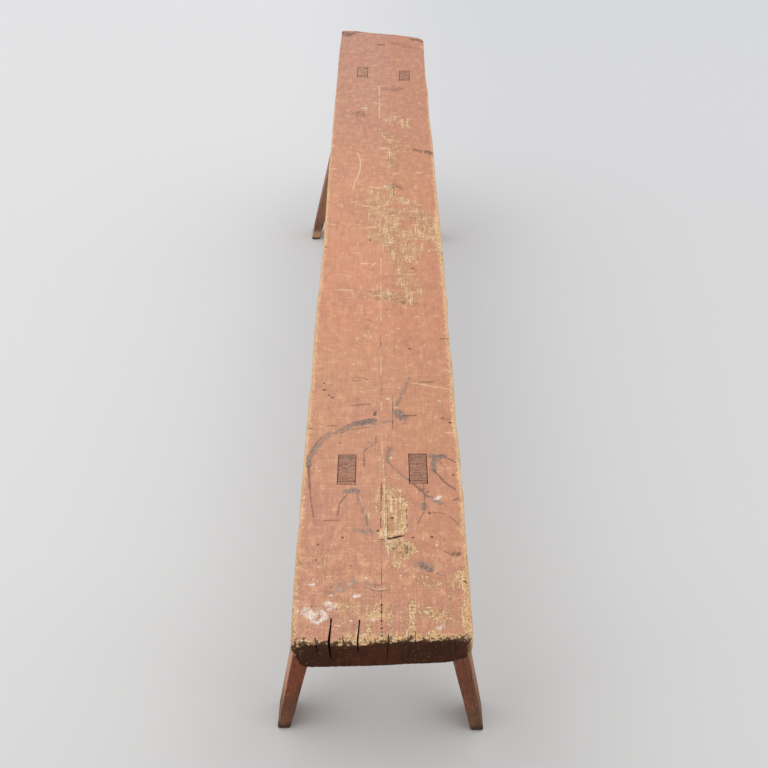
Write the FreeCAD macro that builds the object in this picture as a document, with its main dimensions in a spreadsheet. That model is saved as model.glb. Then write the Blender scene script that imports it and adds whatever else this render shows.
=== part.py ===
"""A long country bench: one plank seat on four splayed, tapering legs.

Each leg ends in a tenon that runs right through the seat and is held there by two wedges,
one at each end of its mortise. Nothing is glued or nailed, and nothing moves.

Frame, in millimetres: the floor is Z = 0 and +Z is up. Y runs along the bench, from the near
end (-Y) to the far end (+Y), and X runs across it, left (-X) to right (+X). The origin is on
the floor, in the middle of the whole bench's width and length. The legs stand out further on
the left than on the right, so the seat's centre line lies a little to the right of it.
"""

import FreeCAD, Part
import math
import os
import Sketcher
from FreeCAD import Vector

# Every size that can be set by itself: its name, its value and what it measures.
SIZES = (
    ("seat_height", 450.0, "floor to the top of the seat"),
    ("seat_thickness", 40.0, "plank, top face to underside"),
    ("seat_length", 2386.0, "along its left edge, the longer one, from corner to corner"),
    ("seat_end_width", 221.0, "square across the plank at either end"),
    ("edge_bow", 2.7, "how far each long edge swells out at its middle"),
    ("near_end_skew", 10.5, "how much shorter the right edge is at the near end"),
    ("far_end_skew", 80.0, "how much shorter the right edge is at the far end"),
    ("wane_radius", 18.0, "round of the long lower edges, where the log's own curve was left"),
    ("top_edge_radius", 5.0, "worn round of the edges all about the top"),
    ("tenon_thickness", 24.0, "tenon across the bench"),
    ("tenon_length", 57.0, "tenon along the bench, without its wedges"),
    ("wedge_head", 7.0, "wedge along the bench, at the top of the seat"),
    ("wedge_toe", 1.0, "room for the wedge along the bench, at the seat's underside"),
    ("wedge_stop", 4.0, "how far the wedge's tip stays above the underside"),
    ("fit_gap", 0.1, "gap left at each face of the driven joint"),
    ("end_grain_recess", 0.3, "how far tenons and wedges stay below the top of the seat"),
    ("inner_shoulder", 3.0, "leg's inner face to the tenon's, which it runs parallel to"),
    ("foot_thickness", 20.0, "leg across the bench, at the floor"),
    ("foot_depth", 59.0, "leg along the bench, at the floor"),
    ("shoulder_depth", 90.0, "leg along the bench, under the seat"),
    ("leg_edge_radius", 3.0, "worn round of a leg's long edges"),
    ("sole_wear", 3.5, "worn bevel about a leg's sole"),
    ("near_left_tenon_out", 50.0, "seat's centre line to the tenon's middle"),
    ("near_left_setback", 355.0, "overall near end to the tenon's middle"),
    ("near_left_splay_side", 106.0, "how far the tenon's line runs out sideways by the floor"),
    ("near_left_splay_end", 33.0, "how far the tenon's line runs out endways by the floor"),
    ("near_left_shoulder", 41.0, "leg across the bench, under the seat"),
    ("near_right_tenon_out", 50.5, "seat's centre line to the tenon's middle"),
    ("near_right_setback", 356.5, "overall near end to the tenon's middle"),
    ("near_right_splay_side", 102.0, "how far the tenon's line runs out sideways by the floor"),
    ("near_right_splay_end", 39.5, "how far the tenon's line runs out endways by the floor"),
    ("near_right_shoulder", 38.0, "leg across the bench, under the seat"),
    ("far_left_tenon_out", 48.0, "seat's centre line to the tenon's middle"),
    ("far_left_setback", 343.5, "overall far end to the tenon's middle"),
    ("far_left_splay_side", 128.0, "how far the tenon's line runs out sideways by the floor"),
    ("far_left_splay_end", 13.0, "how far the tenon's line runs out endways by the floor"),
    ("far_left_shoulder", 45.0, "leg across the bench, under the seat"),
    ("far_right_tenon_out", 55.0, "seat's centre line to the tenon's middle"),
    ("far_right_setback", 368.0, "overall far end to the tenon's middle"),
    ("far_right_splay_side", 91.0, "how far the tenon's line runs out sideways by the floor"),
    ("far_right_splay_end", 16.0, "how far the tenon's line runs out endways by the floor"),
    ("far_right_shoulder", 41.0, "leg across the bench, under the seat"),
    ("outer_split_left", 62.0, "centre line to the mouth of the near end's outer split"),
    ("outer_split_width", 3.0, "its mouth, across the bench"),
    ("outer_split_length", 42.0, "how far it runs in from the near end"),
    ("outer_split_depth", 24.0, "how far it runs down from the top"),
    ("inner_split_left", 28.5, "centre line to the mouth of the near end's inner split"),
    ("inner_split_width", 2.2, "its mouth, across the bench"),
    ("inner_split_length", 39.0, "how far it runs in from the near end"),
    ("inner_split_depth", 15.0, "how far it runs down from the top"),
    ("split_mouth_overrun", 10.0, "how far a split's cut runs out past the near end"),
)

# Legs by name, with the side (-1 left, 1 right) and the end (-1 near, 1 far) that each stands at.
LEGS = (
    ("near_left", -1, -1),
    ("near_right", 1, -1),
    ("far_left", -1, 1),
    ("far_right", 1, 1),
)

SPLITS = ("outer_split", "inner_split")

UNDERSIDE_DROP = "sizes.seat_thickness"

# An edge lies at a height if it strays from it by less than this share of the plank's thickness.
LEVEL_TOLERANCE_SHARE = 0.01

MM3_PER_CM3 = 1000

# Sideways, the seat's centre line lies half of the difference between the two sides' reach.
LEFT_REACH = (
    "max(sizes.near_left_tenon_out + sizes.near_left_splay_side; "
    "sizes.far_left_tenon_out + sizes.far_left_splay_side)"
)
RIGHT_REACH = (
    "max(sizes.near_right_tenon_out + sizes.near_right_splay_side; "
    "sizes.far_right_tenon_out + sizes.far_right_splay_side)"
)
CENTRE_LINE_X = f"({LEFT_REACH} - {RIGHT_REACH}) / 2"


def make_sheet(doc):
    """The spreadsheet of driving sizes, one to a row, each under its own alias."""
    sheet = doc.addObject("Spreadsheet::Sheet", "sizes")
    for row, (name, value, meaning) in enumerate(SIZES, start=1):
        sheet.set(f"A{row}", name)
        sheet.set(f"B{row}", str(value))
        sheet.set(f"C{row}", meaning)
        sheet.setAlias(f"B{row}", name)
    doc.recompute()
    return sheet


def new_body(doc, label):
    """An empty body for one piece, placed so that its own X = 0 is the seat's centre line."""
    body = doc.addObject("PartDesign::Body", label)
    body.Label = label
    body.setExpression("Placement.Base.x", CENTRE_LINE_X)
    return body


def level_sketch(body, name, x, y, z):
    """A sketch in a level plane, with its own origin at the place that three expressions give."""
    level = next(plane for plane in body.Origin.OriginFeatures if plane.Role == "XY_Plane")
    sketch = body.newObject("Sketcher::SketchObject", name)
    sketch.AttachmentSupport = [(level, "")]
    sketch.MapMode = "FlatFace"
    for axis, expression in zip("xyz", (x, y, z)):
        sketch.setExpression(f".AttachmentOffset.Base.{axis}", expression)
    return sketch


def value_of(sketch, expression):
    """The number that an expression gives now, used only to draw a sketch near its final shape."""
    result = sketch.evalExpression(expression)
    return float(getattr(result, "Value", result))


def bind(sketch, constraint, name, expression):
    """Adds a dimension to a sketch under a name and ties it to an expression."""
    index = sketch.addConstraint(constraint)
    sketch.renameConstraint(index, name)
    sketch.setExpression(f"Constraints.{name}", expression)


def join_ends(sketch, count):
    """Joins the end of each of a sketch's first pieces of outline to the start of the next."""
    for piece in range(count):
        sketch.addConstraint(Sketcher.Constraint("Coincident", piece, 2, (piece + 1) % count, 1))


def rectangle(body, name, centre, across, along):
    """A sketched rectangle about a place: its size across the bench (X) and along it (Y)."""
    sketch = level_sketch(body, name, *centre)
    half_across = value_of(sketch, across) / 2
    half_along = value_of(sketch, along) / 2
    corners = [
        Vector(-half_across, -half_along, 0),
        Vector(half_across, -half_along, 0),
        Vector(half_across, half_along, 0),
        Vector(-half_across, half_along, 0),
    ]
    for start, end in zip(corners, corners[1:] + corners[:1]):
        sketch.addGeometry(Part.LineSegment(start, end))
    join_ends(sketch, len(corners))
    for level_side in (0, 2):
        sketch.addConstraint(Sketcher.Constraint("Horizontal", level_side))
    for upright_side in (1, 3):
        sketch.addConstraint(Sketcher.Constraint("Vertical", upright_side))
    sketch.addConstraint(Sketcher.Constraint("Symmetric", 0, 1, 2, 1, -1, 1))
    bind(sketch, Sketcher.Constraint("DistanceX", 0, 1, 0, 2, 2 * half_across), "across", across)
    bind(sketch, Sketcher.Constraint("DistanceY", 1, 1, 1, 2, 2 * half_along), "along", along)
    return sketch


def rounded_rectangle(body, name, centre, across, along, corner):
    """A sketched rectangle whose four corners are arcs, all with the radius of an expression."""
    sketch = level_sketch(body, name, *centre)
    half_across = value_of(sketch, across) / 2
    half_along = value_of(sketch, along) / 2
    radius = value_of(sketch, corner)
    upright = Vector(0, 0, 1)
    side_x, side_y = half_across - radius, half_along - radius
    sides = (
        (Vector(-side_x, -half_along, 0), Vector(side_x, -half_along, 0)),
        (Vector(half_across, -side_y, 0), Vector(half_across, side_y, 0)),
        (Vector(side_x, half_along, 0), Vector(-side_x, half_along, 0)),
        (Vector(-half_across, side_y, 0), Vector(-half_across, -side_y, 0)),
    )
    arc_centres = (
        Vector(side_x, -side_y, 0),
        Vector(side_x, side_y, 0),
        Vector(-side_x, side_y, 0),
        Vector(-side_x, -side_y, 0),
    )
    for quarter, (side, arc_centre) in enumerate(zip(sides, arc_centres)):
        start_angle = (quarter - 1) * math.pi / 2
        circle = Part.Circle(arc_centre, upright, radius)
        sketch.addGeometry(Part.LineSegment(*side))
        sketch.addGeometry(Part.ArcOfCircle(circle, start_angle, start_angle + math.pi / 2))
    count = 2 * len(sides)
    for piece in range(count):
        sketch.addConstraint(Sketcher.Constraint("Tangent", piece, 2, (piece + 1) % count, 1))
    for level_side in (0, 4):
        sketch.addConstraint(Sketcher.Constraint("Horizontal", level_side))
    for upright_side in (2, 6):
        sketch.addConstraint(Sketcher.Constraint("Vertical", upright_side))
    for arc in (3, 5, 7):
        sketch.addConstraint(Sketcher.Constraint("Equal", 1, arc))
    sketch.addConstraint(Sketcher.Constraint("Symmetric", 3, 3, 7, 3, -1, 1))
    bind(sketch, Sketcher.Constraint("Radius", 1, radius), "corner", corner)
    bind(sketch, Sketcher.Constraint("DistanceX", 6, 1, 2, 1, 2 * half_across), "across", across)
    bind(sketch, Sketcher.Constraint("DistanceY", 0, 1, 4, 1, 2 * half_along), "along", along)
    return sketch


def loft(body, name, *sketches, cuts=False):
    """A straight-sided solid through two or more sketches, added to the body or cut out of it."""
    kind = "PartDesign::SubtractiveLoft" if cuts else "PartDesign::AdditiveLoft"
    feature = body.newObject(kind, name)
    feature.Profile = sketches[0]
    feature.Sections = list(sketches[1:])
    feature.Ruled = True
    body.Document.recompute()
    return feature


def edges_where(feature, chosen):
    """The names of a feature's edges for which chosen(edge) is true."""
    return [f"Edge{n}" for n, edge in enumerate(feature.Shape.Edges, start=1) if chosen(edge)]


def round_over(body, name, feature, edges, radius):
    """Rounds the named edges of a feature to a radius given by an expression."""
    fillet = body.newObject("PartDesign::Fillet", name)
    fillet.Base = (feature, edges)
    fillet.setExpression("Radius", radius)
    body.Document.recompute()
    return fillet


class LegLine:
    """Where a leg's sloping centre line runs, as expressions in the driving sizes."""

    def __init__(self, name, side, end):
        self.name = name
        self.side = side
        self.end = end

    def centre(self, drop, shift_along="0"):
        """The place on the line at a drop below the top of the seat, moved out endways by a shift."""
        share = f"({drop}) / sizes.seat_height"
        out = f"sizes.{self.name}_tenon_out + sizes.{self.name}_splay_side * {share}"
        from_end = f"sizes.seat_length / 2 - sizes.{self.name}_setback"
        along = f"{from_end} + sizes.{self.name}_splay_end * {share} + {shift_along}"
        return (f"{self.side} * ({out})", f"{self.end} * ({along})", f"sizes.seat_height - ({drop})")

    def shaft_centre(self, drop, thickness):
        """The middle of a shaft this thick, whose inner face keeps to the tenon's inner side."""
        x, y, z = self.centre(drop)
        outward = f"{thickness} / 2 - sizes.tenon_thickness / 2 - sizes.inner_shoulder"
        return (f"{x} + {self.side} * ({outward})", y, z)


def outline_sketch(body):
    """The seat's outline from above: two skewed straight ends and two gently bowed long edges."""
    underside = "sizes.seat_height - sizes.seat_thickness"
    sketch = level_sketch(body, "seat_outline", "0", "0", underside)
    half_width = "sizes.seat_end_width / 2"
    left_near = "sizes.seat_length / 2"
    right_near = "sizes.seat_length / 2 - sizes.near_end_skew"
    right_far = "sizes.seat_length / 2 - sizes.far_end_skew"
    bow = "sizes.edge_bow"
    x_side, y_left, y_near, y_far, swell = (
        value_of(sketch, text) for text in (half_width, left_near, right_near, right_far, bow)
    )
    near_left = Vector(-x_side, -y_left, 0)
    near_right = Vector(x_side, -y_near, 0)
    far_right = Vector(x_side, y_far, 0)
    far_left = Vector(-x_side, y_left, 0)
    right_middle = (near_right + far_right) / 2 + Vector(swell, 0, 0)
    left_middle = (near_left + far_left) / 2 - Vector(swell, 0, 0)
    sketch.addGeometry(Part.LineSegment(near_left, near_right))
    sketch.addGeometry(Part.Arc(near_right, right_middle, far_right))
    sketch.addGeometry(Part.LineSegment(far_right, far_left))
    sketch.addGeometry(Part.Arc(far_left, left_middle, near_left))
    join_ends(sketch, 4)

    def from_origin(kind, piece, point, distance, name, expression, negative):
        """Ties one coordinate of an outline point to its distance from the sketch's origin."""
        ends = (piece, point, -1, 1) if negative else (-1, 1, piece, point)
        bind(sketch, Sketcher.Constraint(kind, *ends, distance), name, expression)

    from_origin("DistanceX", 0, 1, x_side, "near_left_x", half_width, negative=True)
    from_origin("DistanceY", 0, 1, y_left, "near_left_y", left_near, negative=True)
    from_origin("DistanceX", 0, 2, x_side, "near_right_x", half_width, negative=False)
    from_origin("DistanceY", 0, 2, y_near, "near_right_y", right_near, negative=True)
    from_origin("DistanceX", 2, 1, x_side, "far_right_x", half_width, negative=False)
    from_origin("DistanceY", 2, 1, y_far, "far_right_y", right_far, negative=False)
    from_origin("DistanceX", 2, 2, x_side, "far_left_x", half_width, negative=True)
    from_origin("DistanceY", 2, 2, y_left, "far_left_y", left_near, negative=False)
    # A chord and its swell give an arc's radius.
    right_chord = f"({right_near} + {right_far})"
    for piece, name, chord in ((1, "right_bow", right_chord), (3, "left_bow", "sizes.seat_length")):
        radius = f"({chord} * {chord} / 4 + {bow} * {bow}) / (2 * {bow})"
        start = sketch.Geometry[piece].Radius
        bind(sketch, Sketcher.Constraint("Radius", piece, start), name, radius)
    return sketch


def round_plank(body, plank, underside, top):
    """Rounds the plank's two long lower edges deeply and then wears the arris all round its top."""
    tolerance = LEVEL_TOLERANCE_SHARE * (top - underside)

    def lies_at(edge, height):
        bounds = edge.BoundBox
        return abs(bounds.ZMin - height) < tolerance and abs(bounds.ZMax - height) < tolerance

    def is_long(edge):
        return edge.BoundBox.YLength > edge.BoundBox.XLength

    lower = edges_where(plank, lambda edge: lies_at(edge, underside) and is_long(edge))
    plank = round_over(body, "waney_edges", plank, lower, "sizes.wane_radius")
    upper = edges_where(plank, lambda edge: lies_at(edge, top))
    return round_over(body, "worn_top_edges", plank, upper, "sizes.top_edge_radius")


def cut_mortise(body, line):
    """Cuts one leg's sloping mortise, longer at the top by the heads of the two wedges."""
    across = "sizes.tenon_thickness + 2 * sizes.fit_gap"
    tenon_room = "sizes.tenon_length + 4 * sizes.fit_gap"
    lower = rectangle(
        body,
        f"{line.name}_mortise_below",
        line.centre(UNDERSIDE_DROP),
        across,
        f"{tenon_room} + 2 * sizes.wedge_toe",
    )
    upper = rectangle(
        body,
        f"{line.name}_mortise_above",
        line.centre("0"),
        across,
        f"{tenon_room} + 2 * sizes.wedge_head",
    )
    return loft(body, f"{line.name}_mortise", lower, upper, cuts=True)


def cut_split(body, name):
    """Cuts one drying split: a narrow V from above, widest at the near end of the seat."""
    mouth_x = f"-sizes.{name}_left"
    near_end = "-sizes.seat_length / 2"
    sketch = level_sketch(body, f"{name}_outline", mouth_x, near_end, "sizes.seat_height")
    overrun = "sizes.split_mouth_overrun"
    length = f"sizes.{name}_length"
    reach, inward = value_of(sketch, overrun), value_of(sketch, length)
    width = f"sizes.{name}_width * ({length} + {overrun}) / {length}"
    half = value_of(sketch, width) / 2
    outer_left = Vector(-half, -reach, 0)
    outer_right = Vector(half, -reach, 0)
    tip = Vector(0, inward, 0)
    for start, end in ((outer_left, outer_right), (outer_right, tip), (tip, outer_left)):
        sketch.addGeometry(Part.LineSegment(start, end))
    join_ends(sketch, 3)
    sketch.addConstraint(Sketcher.Constraint("Symmetric", 0, 1, 0, 2, -2))
    sketch.addConstraint(Sketcher.Constraint("PointOnObject", 1, 2, -2))
    bind(sketch, Sketcher.Constraint("DistanceX", 0, 1, 0, 2, 2 * half), "mouth", width)
    bind(sketch, Sketcher.Constraint("DistanceY", 0, 1, -1, 1, reach), "overrun", overrun)
    bind(sketch, Sketcher.Constraint("DistanceY", -1, 1, 1, 2, inward), "inward", length)
    pocket = body.newObject("PartDesign::Pocket", name)
    pocket.Profile = sketch
    pocket.setExpression("Length", f"sizes.{name}_depth")
    body.Document.recompute()
    return pocket


def make_seat(doc, sheet):
    """The seat: one plank, waney below, worn above, with four through mortises and two splits."""
    body = new_body(doc, "seat_plank")
    plank = body.newObject("PartDesign::Pad", "plank")
    plank.Profile = outline_sketch(body)
    plank.setExpression("Length", "sizes.seat_thickness")
    doc.recompute()
    round_plank(body, plank, sheet.seat_height - sheet.seat_thickness, sheet.seat_height)
    for leg in LEGS:
        cut_mortise(body, LegLine(*leg))
    for name in SPLITS:
        before = body.Shape.Volume
        cut_split(body, name)
        if body.Shape.Volume >= before:
            raise RuntimeError(f"{name} cut nothing out of the seat")
    return body


def make_leg(doc, line):
    """One leg: a tapering shaft with rounded edges, a worn sole, and a tenon above its shoulders."""
    body = new_body(doc, f"{line.name}_leg")
    worn = "2 * sizes.sole_wear"
    shoulder = f"sizes.{line.name}_shoulder"
    sole = rounded_rectangle(
        body,
        f"{line.name}_sole",
        line.shaft_centre("sizes.seat_height", "sizes.foot_thickness"),
        f"sizes.foot_thickness - {worn}",
        f"sizes.foot_depth - {worn}",
        "sizes.leg_edge_radius",
    )
    foot = rounded_rectangle(
        body,
        f"{line.name}_foot",
        line.shaft_centre("(sizes.seat_height - sizes.sole_wear)", "sizes.foot_thickness"),
        "sizes.foot_thickness",
        "sizes.foot_depth",
        "sizes.leg_edge_radius",
    )
    shoulders = rounded_rectangle(
        body,
        f"{line.name}_shoulders",
        line.shaft_centre(UNDERSIDE_DROP, shoulder),
        shoulder,
        "sizes.shoulder_depth",
        "sizes.leg_edge_radius",
    )
    loft(body, f"{line.name}_shaft", sole, foot, shoulders)
    tenon_size = ("sizes.tenon_thickness", "sizes.tenon_length")
    tenon_root = rectangle(body, f"{line.name}_tenon_root", line.centre(UNDERSIDE_DROP), *tenon_size)
    tenon_end = rectangle(
        body, f"{line.name}_tenon_end", line.centre("sizes.end_grain_recess"), *tenon_size
    )
    loft(body, f"{line.name}_tenon", tenon_root, tenon_end)
    return body


def make_wedge(doc, line, name, outward):
    """One wedge, filling the flare between a tenon's end and the end of its mortise."""
    body = new_body(doc, f"{line.name}_{name}")
    sections = []
    tip_drop = "(sizes.seat_thickness - sizes.wedge_stop)"
    for place, drop in (("tip", tip_drop), ("head", "sizes.end_grain_recess")):
        taper = f"(sizes.wedge_head - sizes.wedge_toe) * {drop} / sizes.seat_thickness"
        thickness = f"(sizes.wedge_head - {taper})"
        shift = f"{outward} * (sizes.tenon_length / 2 + sizes.fit_gap + {thickness} / 2)"
        sections.append(
            rectangle(
                body,
                f"{line.name}_{name}_{place}",
                line.centre(drop, shift),
                "sizes.tenon_thickness",
                thickness,
            )
        )
    loft(body, f"{line.name}_{name}_taper", *sections)
    return body


def check(doc, bodies):
    """Stops the build if any feature failed, or any piece isn't one valid solid."""
    for thing in doc.Objects:
        if "Invalid" in thing.State or "Error" in thing.State:
            raise RuntimeError(f"{thing.Label} failed: {thing.State}")
    for body in bodies:
        shape = body.Shape
        if shape.isNull() or not shape.isValid() or len(shape.Solids) != 1:
            raise RuntimeError(f"{body.Label} isn't one valid solid")


def main():
    """Builds every piece and writes one STEP file for each."""
    doc = FreeCAD.newDocument("country_bench")
    sheet = make_sheet(doc)
    bodies = [make_seat(doc, sheet)]
    for leg in LEGS:
        line = LegLine(*leg)
        bodies.append(make_leg(doc, line))
        bodies.append(make_wedge(doc, line, "end_wedge", 1))
        bodies.append(make_wedge(doc, line, "inner_wedge", -1))
    doc.recompute()
    check(doc, bodies)
    os.makedirs("parts", exist_ok=True)
    for body in bodies:
        body.Shape.exportStep(f"parts/{body.Label}.step")
        print(f"{body.Label}: {body.Shape.Volume / MM3_PER_CM3:.1f} cm3")


main()
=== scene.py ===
"""The looks of a long country bench: one worn, painted pine plank on four splayed legs.

The frame is in metres: the floor is Z = 0, Y runs along the bench from its near end to its far
end, and X runs across it from left to right. The seat's outline is given in millimetres, across
from its centre line and along from its middle. Marks on it are placed by the pixels of the
photograph that show them.
"""

import logging
import math
from collections.abc import Callable, Iterable
from dataclasses import dataclass
from enum import Enum

import bpy
import numpy as np
from mathutils import Euler, Matrix, Vector, noise


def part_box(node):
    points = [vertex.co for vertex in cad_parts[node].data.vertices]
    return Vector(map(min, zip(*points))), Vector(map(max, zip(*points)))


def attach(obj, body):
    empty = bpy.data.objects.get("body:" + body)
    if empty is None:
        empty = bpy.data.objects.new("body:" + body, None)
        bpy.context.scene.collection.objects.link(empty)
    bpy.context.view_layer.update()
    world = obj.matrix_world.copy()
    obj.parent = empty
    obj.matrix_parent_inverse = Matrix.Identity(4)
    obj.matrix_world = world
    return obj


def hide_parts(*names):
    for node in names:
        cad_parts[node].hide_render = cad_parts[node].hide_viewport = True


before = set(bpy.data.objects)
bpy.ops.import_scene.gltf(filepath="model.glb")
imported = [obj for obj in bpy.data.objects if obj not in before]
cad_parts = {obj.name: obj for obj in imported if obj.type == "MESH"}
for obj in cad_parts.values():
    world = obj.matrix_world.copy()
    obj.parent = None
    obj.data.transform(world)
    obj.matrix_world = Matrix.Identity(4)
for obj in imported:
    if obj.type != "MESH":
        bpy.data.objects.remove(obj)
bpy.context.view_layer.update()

MM = 0.001
BODY = "root"
LEGS = ("near_left", "near_right", "far_left", "far_right")
SMOOTH = {"interpolation_type": "SMOOTHSTEP"}
BLEND = {"out": 2, "data_type": "RGBA"}
# How far each noise pattern is moved from the one before it, in its own lumps.
PATTERN_STEP = 7.3
# What the ragged_step group takes.
STEP_INPUTS = ("Field", "Pattern", "Ragged", "Low", "High")

# Short names for the types that the hints use most.
Place = tuple[float, float]
Pair = tuple[float, float]
Triple = tuple[float, float, float]
Amount = float | np.ndarray
Piece = bpy.types.Object
Material = bpy.types.Material
Tree = bpy.types.NodeTree
Socket = bpy.types.NodeSocket
Sockets = dict[str, Socket]
Tones = tuple[tuple[float, str], ...]
Edges = tuple[tuple[str, tuple[str, float, float, float]], ...]

log = logging.getLogger("bench")


def linear(colour: str) -> tuple[float, float, float, float]:
    """Turns an sRGB hex colour into the linear one that a shader takes.

    Args:
        colour: The colour as "#rrggbb".

    Returns:
        Red, green, blue and an alpha of 1.
    """
    channels = [int(colour[start : start + 2], 16) / 255 for start in (1, 3, 5)]
    red, green, blue = (c / 12.92 if c <= 0.04045 else ((c + 0.055) / 1.055) ** 2.4 for c in channels)
    return (red, green, blue, 1.0)


def add_node(
    tree: Tree, kind: str, inputs: dict | None = None, out: int | str = 0, **settings
) -> Socket | None:
    """Adds a node to a tree, sets it up and links it.

    Args:
        tree: The node tree to add to.
        kind: The node's type, without the word that all shader nodes start with.
        inputs: Values, hex colours or other nodes' outputs, by input name or number.
        out: The output to give back, by name or number.
        **settings: The node's own settings by name.

    Returns:
        The chosen output of the new node, if it has any.
    """
    node = tree.nodes.new(kind if kind.startswith("NodeGroup") else "ShaderNode" + kind)
    for name, value in settings.items():
        setattr(node, name, value)
    for name, value in (inputs or {}).items():
        if isinstance(value, Socket):
            tree.links.new(value, node.inputs[name])
        else:
            node.inputs[name].default_value = linear(value) if isinstance(value, str) else value
    return node.outputs[out] if node.outputs else None


def new_material(name: str) -> tuple[Material, Tree]:
    """Makes an empty material.

    Args:
        name: The material's name.

    Returns:
        The material and its node tree.
    """
    material = bpy.data.materials.new(name)
    material.use_nodes = True
    material.node_tree.nodes.clear()
    return material, material.node_tree


def ragged_step_group() -> Tree:
    """Makes the group that every worn, stained or cracked place ends in: a field's ragged edge.

    Returns:
        The group. It moves Field up and down by Pattern times Ragged, and steps from 0 to 1
        between Low and High.
    """
    group = bpy.data.node_groups.new("ragged_step", "ShaderNodeTree")
    for entry in STEP_INPUTS:
        group.interface.new_socket(entry, in_out="INPUT", socket_type="NodeSocketFloat")
    group.interface.new_socket("Step", in_out="OUTPUT", socket_type="NodeSocketFloat")
    given = add_node(group, "NodeGroupInput").node.outputs
    about = add_node(group, "Math", {0: given["Pattern"], 1: 0.5}, operation="SUBTRACT")
    wave = {0: about, 1: given["Ragged"], 2: given["Field"]}
    moved = add_node(group, "Math", wave, operation="MULTIPLY_ADD")
    step = add_node(group, "MapRange", {0: moved, 1: given["Low"], 2: given["High"]}, **SMOOTH)
    add_node(group, "NodeGroupOutput", {"Step": step})
    return group


def mesh_rows(piece: Piece, kind: str) -> np.ndarray:
    """What a piece's vertices hold, one to a row: "co" for places, "normal" for directions."""
    rows = np.empty(len(piece.data.vertices) * 3, np.float32)
    piece.data.vertices.foreach_get(kind, rows)
    return rows.reshape(-1, 3).astype(float)


def mesh_points(piece: Piece) -> np.ndarray:
    """The places of a piece's vertices, one to a row."""
    return mesh_rows(piece, "co")


def mesh_normals(piece: Piece) -> np.ndarray:
    """The outward directions at a piece's vertices, one to a row."""
    return mesh_rows(piece, "normal")


def move_points(piece: Piece, points: np.ndarray) -> None:
    """Puts a piece's vertices at new places, given one to a row."""
    piece.data.vertices.foreach_set("co", points.astype(np.float32).ravel())
    piece.data.update()


def noise_at(points: np.ndarray, size: Triple, seed: float) -> np.ndarray:
    """Smooth noise from about -1 to 1.

    Args:
        points: Where, one to a row.
        size: How large its lumps are along X, Y and Z.
        seed: Moves the noise, so that two pieces differ.

    Returns:
        One number for each point.
    """
    scaled = points / np.array(size) + seed
    return np.array([noise.noise(Vector(point)) for point in scaled])


def start_piece(add: Callable, name: str, **settings) -> Piece:
    """Adds a primitive with nothing else selected.

    Args:
        add: The operator that adds the primitive.
        name: The piece's name.
        **settings: The operator's own settings.

    Returns:
        The new piece, selected and active.
    """
    bpy.ops.object.select_all(action="DESELECT")
    add(**settings)
    piece = bpy.context.object
    piece.name = piece.data.name = name
    return piece


def choose(piece: Piece) -> None:
    """Selects one piece and makes it the active one."""
    bpy.ops.object.select_all(action="DESELECT")
    piece.select_set(True)
    bpy.context.view_layer.objects.active = piece


def settle(piece: Piece) -> None:
    """Moves a piece's place, turn and size into its mesh."""
    choose(piece)
    bpy.ops.object.transform_apply(location=True, rotation=True, scale=True)


def select_where(piece: Piece, part: str, chosen: Callable[[Vector, Vector], bool]) -> None:
    """Selects, in edit mode, the faces or edges that a rule picks, and nothing else.

    Args:
        piece: The piece in edit mode.
        part: "FACE" or "EDGE".
        chosen: The rule, given the element's middle and its direction: a face's normal or the way
            that an edge runs.
    """
    bpy.ops.mesh.select_mode(type=part)
    bpy.ops.mesh.select_all(action="DESELECT")
    bpy.ops.object.mode_set(mode="OBJECT")
    mesh = piece.data
    if part == "FACE":
        for face in mesh.polygons:
            face.select = chosen(face.center, face.normal)
    else:
        for edge in mesh.edges:
            start, end = (mesh.vertices[i].co for i in edge.vertices)
            edge.select = chosen((start + end) / 2, (end - start).normalized())
    bpy.ops.object.mode_set(mode="EDIT")


def apply_modifier(piece: Piece, kind: str, **settings) -> None:
    """Gives a piece a modifier with some settings and applies it."""
    choose(piece)
    modifier = piece.modifiers.new(kind.lower(), kind)
    for name, value in settings.items():
        setattr(modifier, name, value)
    bpy.ops.object.modifier_apply(modifier=modifier.name)


def cut_away(piece: Piece, cutters: Iterable[Piece]) -> None:
    """Cuts the cutters' shapes out of a piece, then deletes them.

    Args:
        piece: The piece to cut.
        cutters: Closed solids, each with the material that its cut faces take.
    """
    for cutter in cutters:
        apply_modifier(piece, "BOOLEAN", operation="DIFFERENCE", object=cutter, solver="MANIFOLD")
        bpy.data.objects.remove(cutter)


def block(name: str, low: Triple, high: Triple) -> Piece:
    """Adds a plain block to shape further or to cut with.

    Args:
        name: Its name.
        low: Its lowest corner.
        high: Its highest corner.

    Returns:
        The block, with its place in its mesh.
    """
    middle = [(a + b) / 2 for a, b in zip(low, high)]
    piece = start_piece(bpy.ops.mesh.primitive_cube_add, name, size=1, location=middle)
    piece.scale = [b - a for a, b in zip(low, high)]
    settle(piece)
    return piece


def set_field(piece: Piece, name: str, values: np.ndarray) -> None:
    """Keeps one number, or three, for each of a piece's vertices, for its material to read."""
    vector = values.ndim == 2
    field = piece.data.attributes.new(name, "FLOAT_VECTOR" if vector else "FLOAT", "POINT")
    field.data.foreach_set("vector" if vector else "value", values.astype(np.float32).ravel())


def ramp(values: np.ndarray, start: Amount, end: Amount) -> np.ndarray:
    """Goes from 0 at start to 1 at end, and stays there."""
    return np.clip((values - start) / (end - start), 0, 1)


@dataclass(frozen=True)
class Fade:
    """How strongly something shows, by the distance from where it starts.

    Attributes:
        strength: How strongly it shows at most.
        full: The distance up to which it shows like that.
        gone: The distance from which nothing of it shows.
    """

    strength: Amount
    full: Amount
    gone: Amount

    def at(self, distance: np.ndarray) -> np.ndarray:
        """How strongly it shows at some distances."""
        return self.strength * (1 - ramp(distance, self.full, self.gone))


def follow(curve: Iterable[Place], values: Amount) -> Amount:
    """Reads a curve, given as places and the numbers there, at some values."""
    return np.interp(values, *zip(*curve))


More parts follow.
